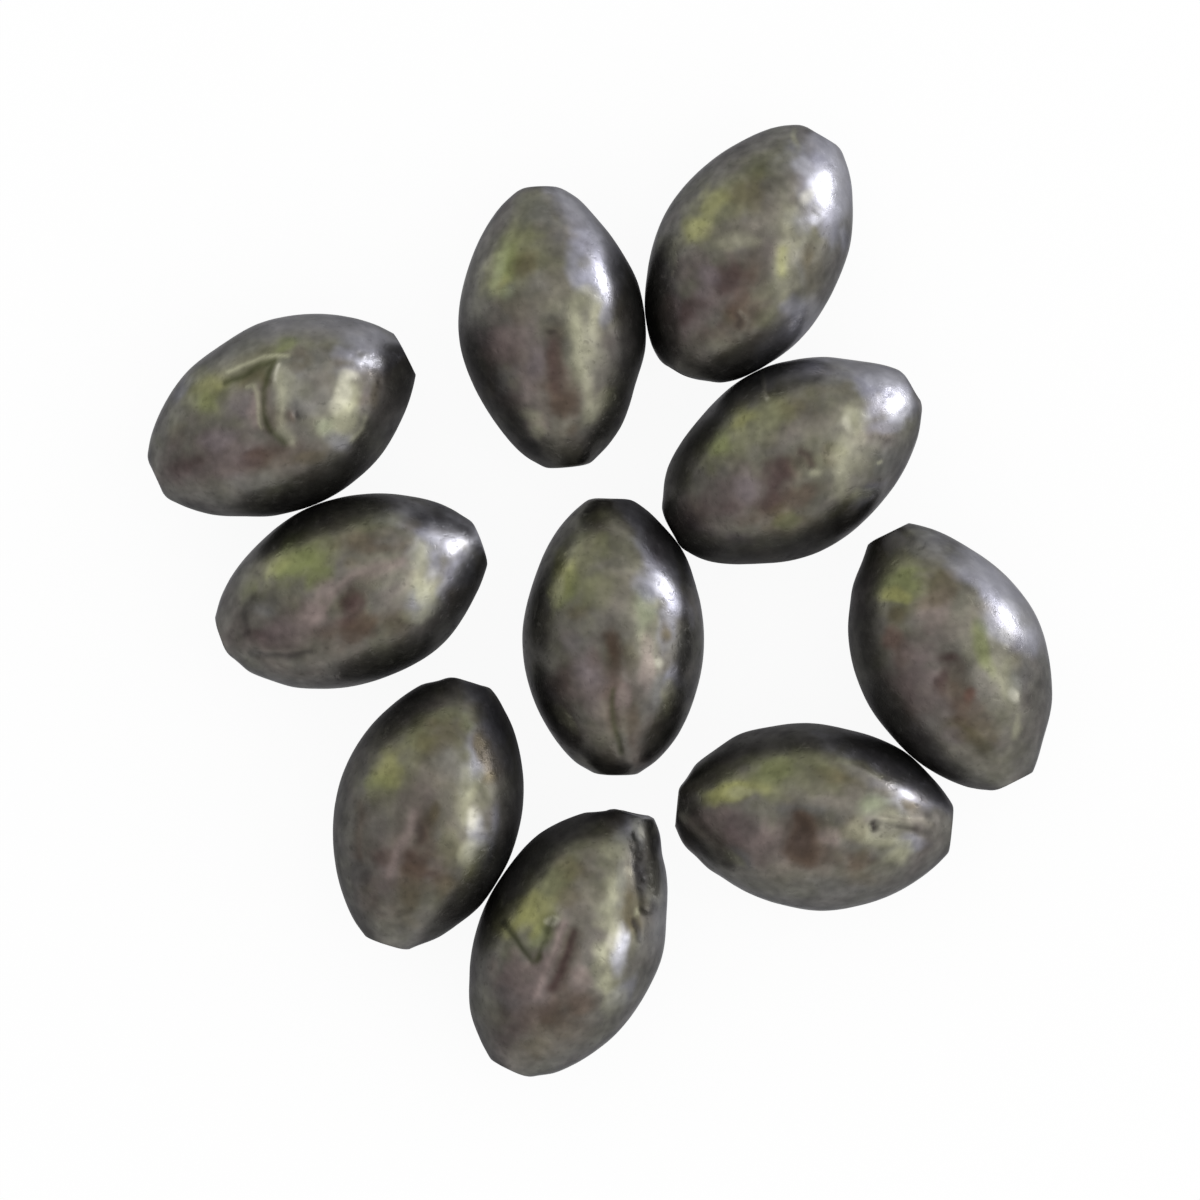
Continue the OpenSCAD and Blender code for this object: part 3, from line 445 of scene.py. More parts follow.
castings["bottom"] = {
    "ends": [(245, 0.12, 6, 0.05)],
    "grabs": [(58, 0.62, 3.1), (75, -0.4, 1.8), (15, -0.2, 3.5), (107, 0.25, 4.5),
              (214, 0.14, 2.5), (256, -0.12, 2), (325, -0.08, 4), (50, 0.12, 1.5),
              (66, 0.15, 1.2), (147, 0.03, 3)],
    "ridges": [
        (-0.07, 0.25, [(-4.9, 1.4), (-3.9, 0), (-2.8, -1.4), (-2.2, -1.1)]),
        (-0.04, 0.4, [(-1.9, -0.4), (-1.3, 1.5)]),
        (0.07, 0.4, [(-0.4, 1.4), (-1, -0.4), (-1.8, -2), (-2.3, -3.7)]),
        (-0.06, 0.35, [(0.3, 0.7), (-0.1, -0.6), (-0.6, -1.9), (-1.15, -3.2)]),
        (-0.045, 0.5, [(4.8, 8), (4.9, 6.8), (5.2, 5.5), (5.3, 4.2), (5.5, 2.6)]),
        (-0.06, 0.22, [(4.6, 1.5), (4.9, 1), (4.95, 0.2)]),
        (0.05, 0.35, [(5.6, 7.9), (5.85, 6.5), (6.2, 5.5), (6.3, 3.4)]),
        (0.1, 1.4, [(4, -0.4), (3.6, -2.4)]),
    ],
    "pits": [(4.8, 7.8, 0.25, 0.05), (4.5, 6.9, 0.2, 0.035), (5.4, 6.2, 0.22, 0.035),
             (5, 5.5, 0.25, 0.035), (5.45, 4.7, 0.22, 0.04), (5.1, 4, 0.2, 0.03),
             (4.9, 2.1, 0.3, -0.05), (5.6, 2.3, 0.2, 0.05), (6.35, 7.3, 0.25, 0.05)],
    "stainsAndPaintedLight": [
        ("yellow", -3.1, 2.3, 1.4, 1, 20, 0.7), ("green", -2.4, 0.2, 1.2, 0.7, 60, 0.5),
        ("olive", -1.2, 4.6, 1.5, 0.8, 30, 0.5), ("umber", 0.6, 5.2, 1.2, 0.8, 10, 0.45),
        ("moss", -1.4, 1.4, 0.6, 0.7, 60, 0.5), ("olive", 5.4, 8.1, 1.1, 0.7, -40, 0.6),
        ("umber", 5, 4, 3, 0.4, 90, 0.35), ("stone", 4, 5.6, 1.4, 0.5, 90, 0.4),
        ("bright", 3.7, 0.2, 1, 0.45, 85, 0.8), ("bright", 3.5, -1.4, 1.2, 0.7, 75, 0.65),
        ("pale", 2.7, -2.6, 1.2, 0.8, 70, 0.6), ("lavender", 3.8, -3.6, 1.2, 0.7, 60, 0.5),
        ("grey", 3.1, -5, 1.2, 0.9, 60, 0.4), ("rose", 0.7, -2.5, 0.6, 1, 0, 0.45),
        ("brown", 1, -4.5, 1.4, 0.8, 0, 0.5), ("brown", -2.4, -5.6, 1.8, 0.9, 10, 0.4),
        ("mauve", -4, -2, 1.2, 0.7, 70, 0.5), ("stone", -2.2, -7.4, 2, 1, 10, 0.4),
        ("slate", -4.6, -4.2, 0.9, 0.9, 0, 0.4),
        ("yellow", -3.5, 1.9, 1.8, 1.1, 30, 0.5), ("rose", -3, -2.3, 1.4, 0.9, 60, 0.4),
        ("bone", 3.1, 0.4, 1.3, 0.5, 85, 0.45), ("pale", 3.1, -4.7, 1.6, 0.7, 80, 0.4),
        ("umber", 4.8, 1.4, 1.3, 0.45, 90, 0.5), ("olive", 6.2, 4.8, 2.2, 0.5, 95, 0.5),
        ("umber", 0, 3.2, 1, 0.7, 0, 0.4), ("dark", 0.8, 7.4, 1.4, 0.6, 10, 0.3),
        ("brown", 0.4, -6.4, 2, 1, 10, 0.35), ("olive", 3.6, 5, 2.2, 2.8, 0, 0.3),
        ("pale", 5.65, 7.9, 0.5, 0.5, 0, 0.7), ("dark", 6.4, 7.2, 0.6, 0.2, 100, 0.4),
        ("bone", 4.2, 5.3, 0.35, 0.35, 0, 0.4), ("umber", 4.3, 4, 2.6, 0.5, 90, 0.5),
        ("pale", 4.9, 2.1, 0.3, 0.3, 0, 0.5), ("yellow", -3.8, 1.6, 1.6, 0.7, 60, 0.6),
        ("pale", -3.6, 0.8, 0.9, 0.4, 60, 0.3), ("umber", 4.2, 1.4, 0.6, 0.3, 80, 0.5),
        ("pale", 2.2, -0.8, 1, 0.6, 85, 0.5), ("umber", 3.8, 0.9, 0.5, 0.3, 80, 0.4),
        ("olive", -4.3, 2.4, 1, 0.6, 60, 0.5), ("pale", -3.3, 0, 0.6, 0.5, 0, 0.35),
        ("rose", -2.9, -1.9, 1.3, 0.6, 0, 0.5), ("umber", -2.2, -7.5, 1.2, 0.6, 0, 0.35),
        ("umber", 5.7, 1, 2, 0.6, 88, 0.6), ("bone", 5.8, 8.1, 0.7, 0.5, 60, 0.6),
        ("dark", -1, 1.3, 0.4, 0.35, 60, 0.45), ("yellow", -2.6, 0.6, 0.6, 0.4, 60, 0.45),
        ("umber", 4, 3.6, 0.8, 0.6, 0, 0.35), ("umber", -0.5, 6, 0.8, 0.5, 0, 0.35),
        ("pale", 3, 6.4, 0.8, 0.5, 0, 0.3), ("brown", -5.5, -1.7, 0.8, 0.5, 80, 0.35),
        ("pale", -4.2, 2.3, 0.8, 0.4, 70, 0.5), ("bone", -1.2, 1.7, 0.4, 0.3, 0, 0.35),
        ("pale", 2.3, 1.3, 0.5, 0.5, 0, 0.4), ("bone", 5.8, 8.1, 0.5, 0.4, 60, 0.5),
        ("rose", -1.9, -1.2, 0.4, 0.4, 0, 0.4), ("rose", -4, -0.9, 0.5, 0.5, 0, 0.4),
    ],
    "streaksAndPaintedLight": [
        ("moss", 0.25, 0.7, [(-4.9, 1.4), (-3.9, 0), (-2.8, -1.4), (-2.2, -1.1)]),
        ("moss", 0.22, 0.65, [(-2.4, -1.3), (-1.9, -0.2), (-1.5, 0.9), (-1.2, 1.8)]),
        ("rose", 0.38, 0.75, [(-0.4, 1.4), (-1, -0.4), (-1.8, -2), (-2.3, -3.7)]),
        ("wine", 0.38, 0.75, [(0.3, 0.7), (-0.1, -0.6), (-0.6, -1.9), (-1.15, -3.2)]),
        ("pale", 0.45, 0.6, [(3, 4.4), (3.05, 3.4), (2.8, 2), (2.9, 1)]),
        ("umber", 0.4, 0.5, [(4.1, 3.2), (4, 1.7)]),
        ("dark", 0.45, 0.55, [(4.8, 7.9), (4.9, 6.8), (5.2, 5.5), (5.3, 4.2)]),
        ("dark", 0.4, 0.4, [(5.3, 4), (5.2, 3.2), (5.6, 2.3)]),
        ("dark", 0.25, 0.75, [(4.6, 1.5), (4.9, 1), (4.95, 0.2)]),
        ("bone", 0.45, 0.8, [(5.7, 8.4), (5.85, 6.5), (6.2, 5.5), (6.3, 3.4)]),
        ("moss", 0.22, 0.7, [(6.65, 5.6), (6.8, 4.4)]),
        ("moss", 0.2, 0.5, [(6.8, 4.4), (6.6, 2), (6.3, 0.6)]),
    ],
    "rimShade": [(120, 36, 1), (90, 30, 0.6), (200, 50, 0.45)],
    "shine": [(25, 45, 0.3)],
}

castings["lower_right"] = {
    "ends": [(354.5, 0.02, 4, 0)],
    "grabs": [(165, -0.45, 1.8), (193, 0.26, 2), (205, 0.15, 1.5), (132, 0.18, 2.5), (70, -0.1, 3),
              (275, 0.1, 3), (35, 0.12, 2.5), (170, -0.15, 1.2), (51, 0.03, 3)],
    "ridges": [
        (0.04, 0.35, [(1, 3.9), (3.15, 3.5), (5.3, 2.35)]),
        (0.04, 0.25, [(4.8, -0.1), (6.4, -0.3), (8.5, -0.5)]),
        (0.03, 0.35, [(3.85, -1.6), (5.3, -1.9), (6.85, -2)]),
        (-0.05, 0.28, [(4.4, -0.75), (6.2, -1), (8.3, -1.2)]),
    ],
    "pits": [(4.25, -0.65, 0.32, 0.15), (3.9, 2.2, 0.2, 0.04)],
    "stainsAndPaintedLight": [
        ("yellow", -6, 1.7, 1.8, 0.6, 15, 0.7), ("green", -3, 3.2, 1.8, 0.8, 10, 0.55),
        ("olive", 0, 3.9, 2, 0.6, 0, 0.5), ("rose", -7.4, 0.2, 1, 0.8, 0, 0.4),
        ("mauve", -5.4, -0.6, 1.2, 0.8, 0, 0.45), ("rose", -3.2, -1, 0.8, 0.9, 0, 0.5),
        ("brown", -1, -1.5, 1.3, 1.6, 0, 0.75), ("brown", -1, -1.8, 1.2, 1.5, 0, 0.4),
        ("rose", 1.2, -1.4, 0.8, 0.7, 0, 0.45), ("brown", 2.8, -3.3, 1.5, 0.8, 0, 0.4),
        ("paleGreen", 4.1, 0.8, 1.1, 0.8, 20, 0.55), ("pale", 3.4, -1, 0.8, 0.7, 0, 0.45),
        ("grey", 5.9, -2.5, 1.6, 0.7, 10, 0.6), ("lavender", 7.2, -1.9, 1.2, 0.6, 10, 0.4),
        ("stone", -2.6, -4, 1.4, 0.6, 0, 0.5), ("grey", 1.4, -5, 2.4, 0.7, 0, 0.4),
        ("dark", 7.9, 0.6, 0.9, 0.5, -20, 0.3), ("brown", 1, 3, 1, 0.4, -10, 0.4),
        ("yellow", -5.8, 1.8, 2.2, 0.8, 10, 0.4), ("rose", -8, -0.5, 1.2, 1.1, 0, 0.4),
        ("grey", -5.4, -3, 1.3, 0.6, -20, 0.7), ("dark", 8, 0.4, 1, 0.7, -10, 0.35),
        ("bright", 6.6, 1.7, 0.6, 0.3, -25, 0.4), ("pale", 6, -2.8, 1, 0.6, 20, 0.6),
        ("umber", 3, -0.8, 0.8, 1, 0, 0.35), ("umber", 3.6, -4.5, 1.4, 0.5, 0, 0.45),
        ("olive", -2, 2.6, 4, 1.4, 0, 0.4), ("umber", 7.6, 1.6, 0.8, 0.5, -30, 0.4),
        ("pale", 5.8, -2.7, 1, 0.7, 0, 0.5), ("stone", -6.3, -2.8, 1.1, 0.5, -30, 0.6),
        ("dark", -0.9, -1.6, 1, 0.9, 0, 0.45), ("yellow", -5.6, 1.7, 1.9, 0.6, 8, 0.4),
        ("pale", 5.2, 0, 0.7, 0.5, 0, 0.4), ("stone", -8.5, -1.2, 0.7, 0.5, 0, 0.5),
        ("rose", -3.7, -1.7, 0.8, 0.8, 0, 0.4), ("umber", 6.8, 0.8, 0.6, 0.35, -20, 0.5),
        ("umber", 6.5, 0.9, 0.5, 0.3, -20, 0.4), ("pale", -5.9, -3, 0.9, 0.4, -30, 0.5),
        ("pale", 6.2, -3.3, 0.7, 0.5, 0, 0.5), ("brown", 2.7, -3.7, 0.9, 0.6, 0, 0.45),
        ("pale", -5.1, 1.6, 1, 0.4, 8, 0.35), ("yellow", -7.2, 1.6, 0.6, 0.4, 0, 0.5),
        ("stone", 5.4, 1.6, 0.6, 0.4, 0, 0.35), ("dark", 7.9, 3.1, 0.7, 0.4, -30, 0.45),
        ("umber", 7, 0.5, 0.6, 0.4, 0, 0.35), ("olive", -5.4, 3.9, 0.8, 0.4, 20, 0.5),
        ("rose", -3.9, -3.2, 0.6, 0.5, 0, 0.4), ("umber", -9.5, -1.2, 0.5, 0.5, 0, 0.4),
    ],
    "streaksAndPaintedLight": [
        ("stone", 0.35, 0.35, [(1, 3.9), (3.15, 3.5), (5.3, 2.35)]),
        ("umber", 0.7, 0.5, [(1.6, 2.9), (3.4, 2.8), (4.9, 1.8)]),
        ("slate", 0.3, 0.4, [(-2.4, 0.5), (0.5, 0.5)]),
        ("stone", 0.22, 0.5, [(4.8, -0.1), (6.4, -0.3), (8.5, -0.5)]),
        ("pale", 0.3, 0.4, [(3.85, -1.6), (5.3, -1.9), (6.85, -2)]),
        ("dark", 0.22, 0.45, [(6, -0.9), (7.2, -1), (8.5, -1.2)]),
        ("dark", 0.25, 0.9, [(4.2, -0.5), (4.3, -0.8)]),
        ("pale", 0.22, 0.5, [(1.6, 4.2), (3.3, 3.8), (4.9, 2.9)]),
    ],
    "rimShade": [(80, 60, 0.5), (50, 30, 0.5), (30, 20, 0.5)],
    "shine": [],
}


def compass(bearing):
    return Vector((math.cos(math.radians(bearing)), math.sin(math.radians(bearing)), 0))


def onlySelect(thing):
    bpy.ops.object.select_all(action="DESELECT")
    thing.select_set(True)
    bpy.context.view_layer.objects.active = thing


def selectVerts(thing, wanted):
    bpy.ops.mesh.select_all(action="DESELECT")
    bm = bmesh.from_edit_mesh(thing.data)
    for vert in bm.verts:
        if wanted(vert.co):
            vert.select = True
    bm.select_flush(True)
    bmesh.update_edit_mesh(thing.data)


def extrudeBy(x, y, z):
    bpy.ops.mesh.extrude_region_move(TRANSFORM_OT_translate={"value": (x * mm, y * mm, z * mm)})


def bisectAt(spot, across, clearInner=False, clearOuter=False):
    bpy.ops.mesh.select_all(action="SELECT")
    bpy.ops.mesh.bisect(
        plane_co=spot, plane_no=across, clear_inner=clearInner, clear_outer=clearOuter
    )


# The clean casting that all ten are copied from, in millimetres
master = {
    "half": 10,
    "belly": 6.7,
    "flatRadius": 1.7,
    "boreRadius": 1,
    "countersink": 0.25,
    "rimRounding": 0.08,
    "rimSegments": 3,
    "circlePoints": 480,
    "turns": 256,
    "flatSteps": 3,
    "boreSteps": 14,
    "sharpAngle": 40,  # degrees
}


# One clean casting with its axis along X: a circle is cut down to the side's arc, its ends are
# drawn in over the flats and through the bore, and the outline is spun
def makeMaster():
    half, belly = master["half"], master["belly"]
    rise = belly - master["flatRadius"]
    sweep = (half ** 2 + rise ** 2) / (2 * rise)
    bpy.ops.object.select_all(action="DESELECT")
    bpy.ops.mesh.primitive_circle_add(
        vertices=master["circlePoints"],
        radius=sweep * mm,
        location=(0, 0, (belly - sweep) * mm),
        rotation=(math.pi / 2, 0, 0),
    )
    casting = bpy.context.object
    casting.name = "cleanCasting"
    bpy.ops.object.transform_apply(location=True, rotation=True, scale=True)
    bpy.ops.object.mode_set(mode="EDIT")
    bpy.ops.mesh.select_mode(type="VERT")
    bisectAt((half * mm, 0, 0), (1, 0, 0), clearOuter=True)
    bisectAt((-half * mm, 0, 0), (1, 0, 0), clearInner=True)
    bisectAt((0, 0, 0), (0, 0, 1), clearInner=True)

    sink = master["countersink"]
    ring = master["flatRadius"] - master["boreRadius"] - sink
    boreLength = 2 * (half - sink)
    for end in (1, -1):
        selectVerts(casting, lambda co: co.x * end > (half - hair) * mm)
        for step in range(master["flatSteps"]):
            extrudeBy(0, 0, -ring / master["flatSteps"])
        extrudeBy(-sink * end, 0, -sink)
        if end == 1:
            for step in range(master["boreSteps"]):
                extrudeBy(-boreLength / master["boreSteps"], 0, 0)

    bpy.ops.mesh.select_all(action="SELECT")
    bpy.ops.mesh.spin(
        steps=master["turns"], angle=2 * math.pi, center=(0, 0, 0), axis=(1, 0, 0)
    )
    bpy.ops.mesh.select_all(action="SELECT")
    bpy.ops.mesh.remove_doubles(threshold=2 * hair * mm)
    bpy.ops.mesh.select_all(action="SELECT")
    bpy.ops.mesh.normals_make_consistent(inside=False)

    # The rim between the side and each flat is rounded a little
    rim = master["flatRadius"]
    selectVerts(
        casting,
        lambda co: abs(abs(co.x) - half * mm) < hair * mm
        and abs(math.hypot(co.y, co.z) - rim * mm) < hair * mm,
    )
    bpy.ops.mesh.bevel(
        offset=master["rimRounding"] * mm, segments=master["rimSegments"], affect="EDGES"
    )
    bpy.ops.object.mode_set(mode="OBJECT")
    print("clean casting:", len(casting.data.polygons), "faces")
    return casting


def readPlace(place):
    bore = next(m for m in frame["record"]["mounts"] if m["name"] == place + "_line_bore")
    return {
        "middle": Vector(bore["pos_m"]),
        "axis": Vector(bore["axis"]).normalized(),
        "half": (bore["dims"]["length_mm"] / 2 + master["countersink"]) * mm,
        "belly": bore["pos_m"][2],  # a casting lies on its belly
    }


# A copy of the clean casting, sized, turned and put where the frame says
def copyMaster(clean, place, spot):
    onlySelect(clean)
    bpy.ops.object.duplicate()
    casting = bpy.context.object
    casting.name = "casting_" + place
    girth = spot["belly"] / (master["belly"] * mm)
    casting.scale = (spot["half"] / (master["half"] * mm), girth, girth)
    casting.rotation_euler = (0, 0, math.atan2(spot["axis"].y, spot["axis"].x))
    casting.location = spot["middle"]
    bpy.ops.object.transform_apply(location=True, rotation=True, scale=True)
    return casting


# How a nose is drawn in and rounded, in millimetres but for the smoothing
nose = {
    "rimWidth": 0.15,  # how near the edge of the flat a point counts as its rim
    "aimDepth": 3,  # how far behind the flat the point lies that the rim is drawn towards
    "aimToRim": 3.45,  # how far that point is from the rim
    "drawReach": 1.6,
    "roundDepth": 1.4,  # how far back from the flat the nose is smoothed
    "mouthRadius": 1.3,  # what lies nearer to the axis is the bore's mouth, left as it is
    "smoothing": 0.5,
    "pullReach": 3,
}

# How much more it counts that a point lies on a bearing than that it lies far out along it
bearingFocus = 8


# Rounds the noses and pulls the sides to the outline of the real casting
def shapeOutline(casting, spot, told):
    bpy.ops.object.mode_set(mode="EDIT")
    for bearing, drawnIn, passes, pull in told["ends"]:
        look = compass(bearing)
        axis = spot["axis"] if spot["axis"].dot(look) > 0 else -spot["axis"]

        def outFrom(co):
            out = co - spot["middle"]
            along = out.dot(axis)
            return along, (out - axis * along).length

        def onRim(co):
            along, across = outFrom(co)
            farOut = along > spot["half"] - nose["rimWidth"] * mm
            return farOut and across > (master["flatRadius"] - nose["rimWidth"]) * mm

        def onNose(co):
            along, across = outFrom(co)
            farOut = along > spot["half"] - nose["roundDepth"] * mm
            return farOut and across > nose["mouthRadius"] * mm

        selectVerts(casting, onRim)
        bpy.ops.transform.resize(
            value=(1 - drawnIn / nose["aimToRim"],) * 3,
            center_override=spot["middle"] + axis * (spot["half"] - nose["aimDepth"] * mm),
            use_proportional_edit=True,
            proportional_edit_falloff="SMOOTH",
            proportional_size=nose["drawReach"] * mm,
        )
        selectVerts(casting, onNose)
        for go in range(passes):
            bpy.ops.mesh.vertices_smooth(factor=nose["smoothing"])
        pullBest(casting, lambda co: co.dot(axis), axis * pull * mm, nose["pullReach"] * mm)
    for bearing, out, reach in told["grabs"]:
        look = compass(bearing)

        def furthest(co):
            away = co - spot["middle"]
            along = away.dot(look)
            return along - bearingFocus * (away - look * along).length

        pullBest(casting, furthest, look * out * mm, reach * mm)
    bpy.ops.object.mode_set(mode="OBJECT")


# Pulls the point that suits best, and less and less of what lies round it
def pullBest(casting, suits, move, reach):
    bpy.ops.mesh.select_all(action="DESELECT")
    bm = bmesh.from_edit_mesh(casting.data)
    best = max(bm.verts, key=lambda vert: suits(vert.co))
    best.select = True
    bm.select_flush(True)
    bmesh.update_edit_mesh(casting.data)
    bpy.ops.transform.translate(
        value=move,
        use_proportional_edit=True,
        proportional_edit_falloff="SMOOTH",
        proportional_size=reach,
    )


camera = {
    "spot": Vector((0.068, 0.146, 600)) * mm,
    "lens": 246.95,  # millimetres, as is the sensor
    "sensor": 36,
    "nearest": 0.01,  # metres, between which things are in view
    "furthest": 20,
}


def readPoints(casting):
    points = np.empty(len(casting.data.vertices) * 3, np.float32)
    casting.data.vertices.foreach_get("co", points)
    return points.reshape(-1, 3).astype(float)


# Where each point is seen, in millimetres from the casting's middle, at the height of its axis
def asSeen(points, spot):
    eye = np.array(camera["spot"])
    middle = np.array(spot["middle"])
    nearer = (eye[2] - middle[2]) / (eye[2] - points[:, 2])
    return (eye[:2] + (points[:, :2] - eye[:2]) * nearer[:, None] - middle[:2]) / mm


# Which way the skin of the clean casting faces at each point
def skinFacing(points, spot):
    out = points - np.array(spot["middle"])
    axis = np.array(spot["axis"])
    along = out @ axis
    across = out - along[:, None] * axis
    radius = np.maximum(np.linalg.norm(across, axis=1), speck)
    rise = spot["belly"] - master["flatRadius"] * mm
    sweep = (spot["half"] ** 2 + rise ** 2) / (2 * rise)
    normal = along[:, None] * axis + across * ((radius + sweep - spot["belly"]) / radius)[:, None]
    return normal / np.linalg.norm(normal, axis=1)[:, None]


# Noise over the skin: size in millimetres, octaves and shift
clouds = {
    "edge": (2.2, 3, 0),
    "mottle": (1.6, 4, 20),
    "fine": (0.6, 2, 40),
    "hue": (2.8, 3, 60),
    "wanderX": (2.6, 2, 80),
    "wanderY": (2.6, 2, 120),
}


def cloudAt(points, size, octaves, shift):
    scale = 1 / (size * mm)
    aside = Vector((shift, 0, 0))
    # Each octave is half as strong as the last and twice as fine
    return np.array([noise.fractal(Vector(p) * scale + aside, 1, 2, octaves) for p in points])


def readSkin(casting, spot):
    points = readPoints(casting)
    fields = {name: cloudAt(points, *told) for name, told in clouds.items()}
    fields["wander"] = np.column_stack([fields["wanderX"], fields["wanderY"]])
    fields["seen"] = asSeen(points, spot)
    fields["facing"] = skinFacing(points, spot)
    return fields


def easeBetween(low, high, value):
    share = np.clip((value - low) / (high - low), 0, 1)
    return share * share * (3 - 2 * share)


# How far each seen point is from a path
def pathDistance(seen, path):
    nearest = np.full(len(seen), np.inf)
    for start, stop in zip(path[:-1], path[1:]):
        a, b = np.array(start), np.array(stop)
        share = np.clip(((seen - a) @ (b - a)) / max((b - a) @ (b - a), speck), 0, 1)
        nearest = np.minimum(nearest, np.linalg.norm(seen - a - share[:, None] * (b - a), axis=1))
    return nearest


def weigh(casting, name, weights):
    group = casting.vertex_groups.new(name=name)
    for index in np.nonzero(weights > marks["leastWeight"])[0]:
        group.add([int(index)], float(weights[index]), "REPLACE")


def displace(casting, strength, groupName="", texture=None):
    onlySelect(casting)
    lift = casting.modifiers.new("lift", "DISPLACE")
    lift.strength = strength * mm
    lift.mid_level = 0.5 if texture else 0  # a texture's values run from 0 to 1
    lift.vertex_group = groupName
    if texture:
        lift.texture = texture
        lift.texture_coords = "LOCAL"
    bpy.ops.object.modifier_apply(modifier=lift.name)


marks = {
    "wander": 0.12,  # how far the marks stray from their paths, in millimetres
    "upper": (0.05, 0.3),  # how far up the skin faces where marks start to show, and show in full
    "leastWeight": 0.01,  # points that move by a smaller share of the whole are left alone
}


# Raises the ridges and presses the grooves and pits into the upper side
def carveMarks(casting, told, fields):
    seen = fields["seen"] + fields["wander"] * marks["wander"]
    above = easeBetween(*marks["upper"], fields["facing"][:, 2])
    height = np.zeros(len(seen))
    for tall, width, path in told["ridges"]:
        height += tall * np.exp(-(pathDistance(seen, path) / width) ** 2) * above
    for x, y, radius, depth in told["pits"]:
        apart = np.linalg.norm(seen - np.array((x, y)), axis=1)
        height -= depth * np.exp(-(apart / radius) ** 2) * above
    for name, sign in (("raised", 1), ("pressed", -1)):
        weights = np.maximum(height * sign, 0)
        most = weights.max()
        if most > hair:
            weigh(casting, name, weights / most)
            displace(casting, most * sign, name)
    casting.vertex_groups.clear()


# Unevenness of the cast skin: size of the lumps and how far they stand, in millimetres
skin = [
    {"name": "slowSwell", "size": 6, "stand": 0.07, "detail": 2},
    {"name": "hammered", "size": 1.3, "stand": 0.018, "detail": 2},
]


def makeLumps():
    for lumps in skin:
        lumps["texture"] = bpy.data.textures.new(lumps["name"], "CLOUDS")
        lumps["texture"].noise_scale = lumps["size"] * mm
        lumps["texture"].noise_depth = lumps["detail"]


# Tones of the tarnish and of the painted light, as they look on screen: bright, bone and lavender serve
# as painted highlights and halos, pale and paleGreen also as painted reflections, dark and umber also as
# painted shade, and the darkest tone is painted rim shade
tones = {
    "body": (104, 101, 94),
    "stone": (118, 113, 103),
    "grey": (116, 115, 114),
    "slate": (98, 98, 97),
    "olive": (112, 113, 84),
    "yellow": (146, 146, 96),
    "green": (114, 121, 76),
    "moss": (62, 64, 44),
    "umber": (84, 76, 56),
    "pale": (166, 165, 140),
    "paleGreen": (150, 158, 130),
    "bone": (205, 202, 185),
    "bright": (205, 205, 215),
    "lavender": (148, 148, 162),
    "lilac": (124, 115, 118),
    "rose": (138, 124, 120),
    "mauve": (112, 99, 99),
    "wine": (70, 54, 53),
    "brown": (80, 66, 56),
    "rust": (104, 68, 58),
    "dark": (46, 42, 42),
    "rimShade": (24, 22, 26),
}

# Painted reflections that all ten share, laid where the skin faces the same way on each: olive, pale,
# mauve
# and brown patches that stand for the surroundings mirrored in the lead, and lavender sheen towards the
# key highlight:
# tone, middle and half sizes in terms of the way that the skin faces, turn, strength
sharedReflections = [
    ("olive", -0.38, 0.42, 0.36, 0.24, 35, 0.6),
    ("olive", 0, 0.62, 0.4, 0.16, 0, 0.25),
    ("pale", 0.15, 0.25, 0.22, 0.2, 0, 0.18),
    ("pale", 0.42, 0.05, 0.12, 0.34, 0, 0.15),
    ("mauve", -0.3, -0.28, 0.32, 0.26, 0, 0.6),
    ("mauve", 0.05, 0.25, 0.2, 0.15, 0, 0.2),
    ("brown", 0.1, -0.4, 0.22, 0.12, 0, 0.35),
    ("stone", -0.1, -0.6, 0.4, 0.2, 0, 0.4),
    ("moss", 0.02, 0.42, 0.2, 0.16, 0, 0.2),
    ("lavender", 0.48, 0.62, 0.45, 0.18, -40, 0.6),
    ("wine", -0.6, -0.35, 0.16, 0.26, 20, 0.35),
    ("brown", 0, -0.08, 0.12, 0.14, 0, 0.4),
    ("brown", 0, -0.34, 0.1, 0.24, 0, 0.4),
    ("lavender", 0.56, 0.34, 0.22, 0.16, 30, 0.6),
]

# How the tarnish and the painted light are laid on. A pair says where something starts and where it is
# full.
laying = {
    "wander": 0.35,  # how far the patches stray, in millimetres
    "sharedWander": 0.08,  # the same for the shared painted reflections, as a lean of the skin
    "ragged": 0.6,
    "patchEdge": (0.3, 1.5),  # where a patch fades out, in its half sizes
    "upper": (-0.1, 0.25),  # how far up the skin faces where patches show
    "hue": 0.4,  # how strongly the plain lead goes to olive and mauve
    "steep": (0.55, 0.95),  # how far sideways the skin faces where the rim turns dull
    "steepDull": 0.6,
    "mottle": 0.34,
    "fine": 0.18,
    "cover": 0.6,  # how strongly the painted rim shine and the painted rim shade cover the rim
    "covered": (0.62, 0.9),  # how far sideways the skin faces where they do
    "coverRagged": 0.08,
    "fullSide": 0.6,  # share of its spread over which shine or soot keeps its full strength
    "darkest": 0.002,
}


def screenTone(name):
    return np.array([linear(channel / 255) for channel in tones[name]])


# From a value on screen to light, by the sRGB curve
def linear(value):
    return value / 12.92 if value <= 0.04045 else ((value + 0.055) / 1.055) ** 2.4


def blendTone(colour, name, amount):
    return colour + (screenTone(name) - colour) * np.clip(amount, 0, 1)[:, None]


def patchAmount(where, wobble, middle, halves, turn):
    out = where - np.array(middle)
    turn = math.radians(turn)
    u = (out[:, 0] * math.cos(turn) + out[:, 1] * math.sin(turn)) / halves[0]
    v = (out[:, 1] * math.cos(turn) - out[:, 0] * math.sin(turn)) / halves[1]
    return 1 - easeBetween(*laying["patchEdge"], np.hypot(u, v) + wobble)


def layPatches(colour, patches, where, wobble, above):
    for tone, x, y, halfLong, halfWide, turn, strength in patches:
        amount = patchAmount(where, wobble, (x, y), (halfLong, halfWide), turn)
        colour = blendTone(colour, tone, amount * strength * above)
    return colour


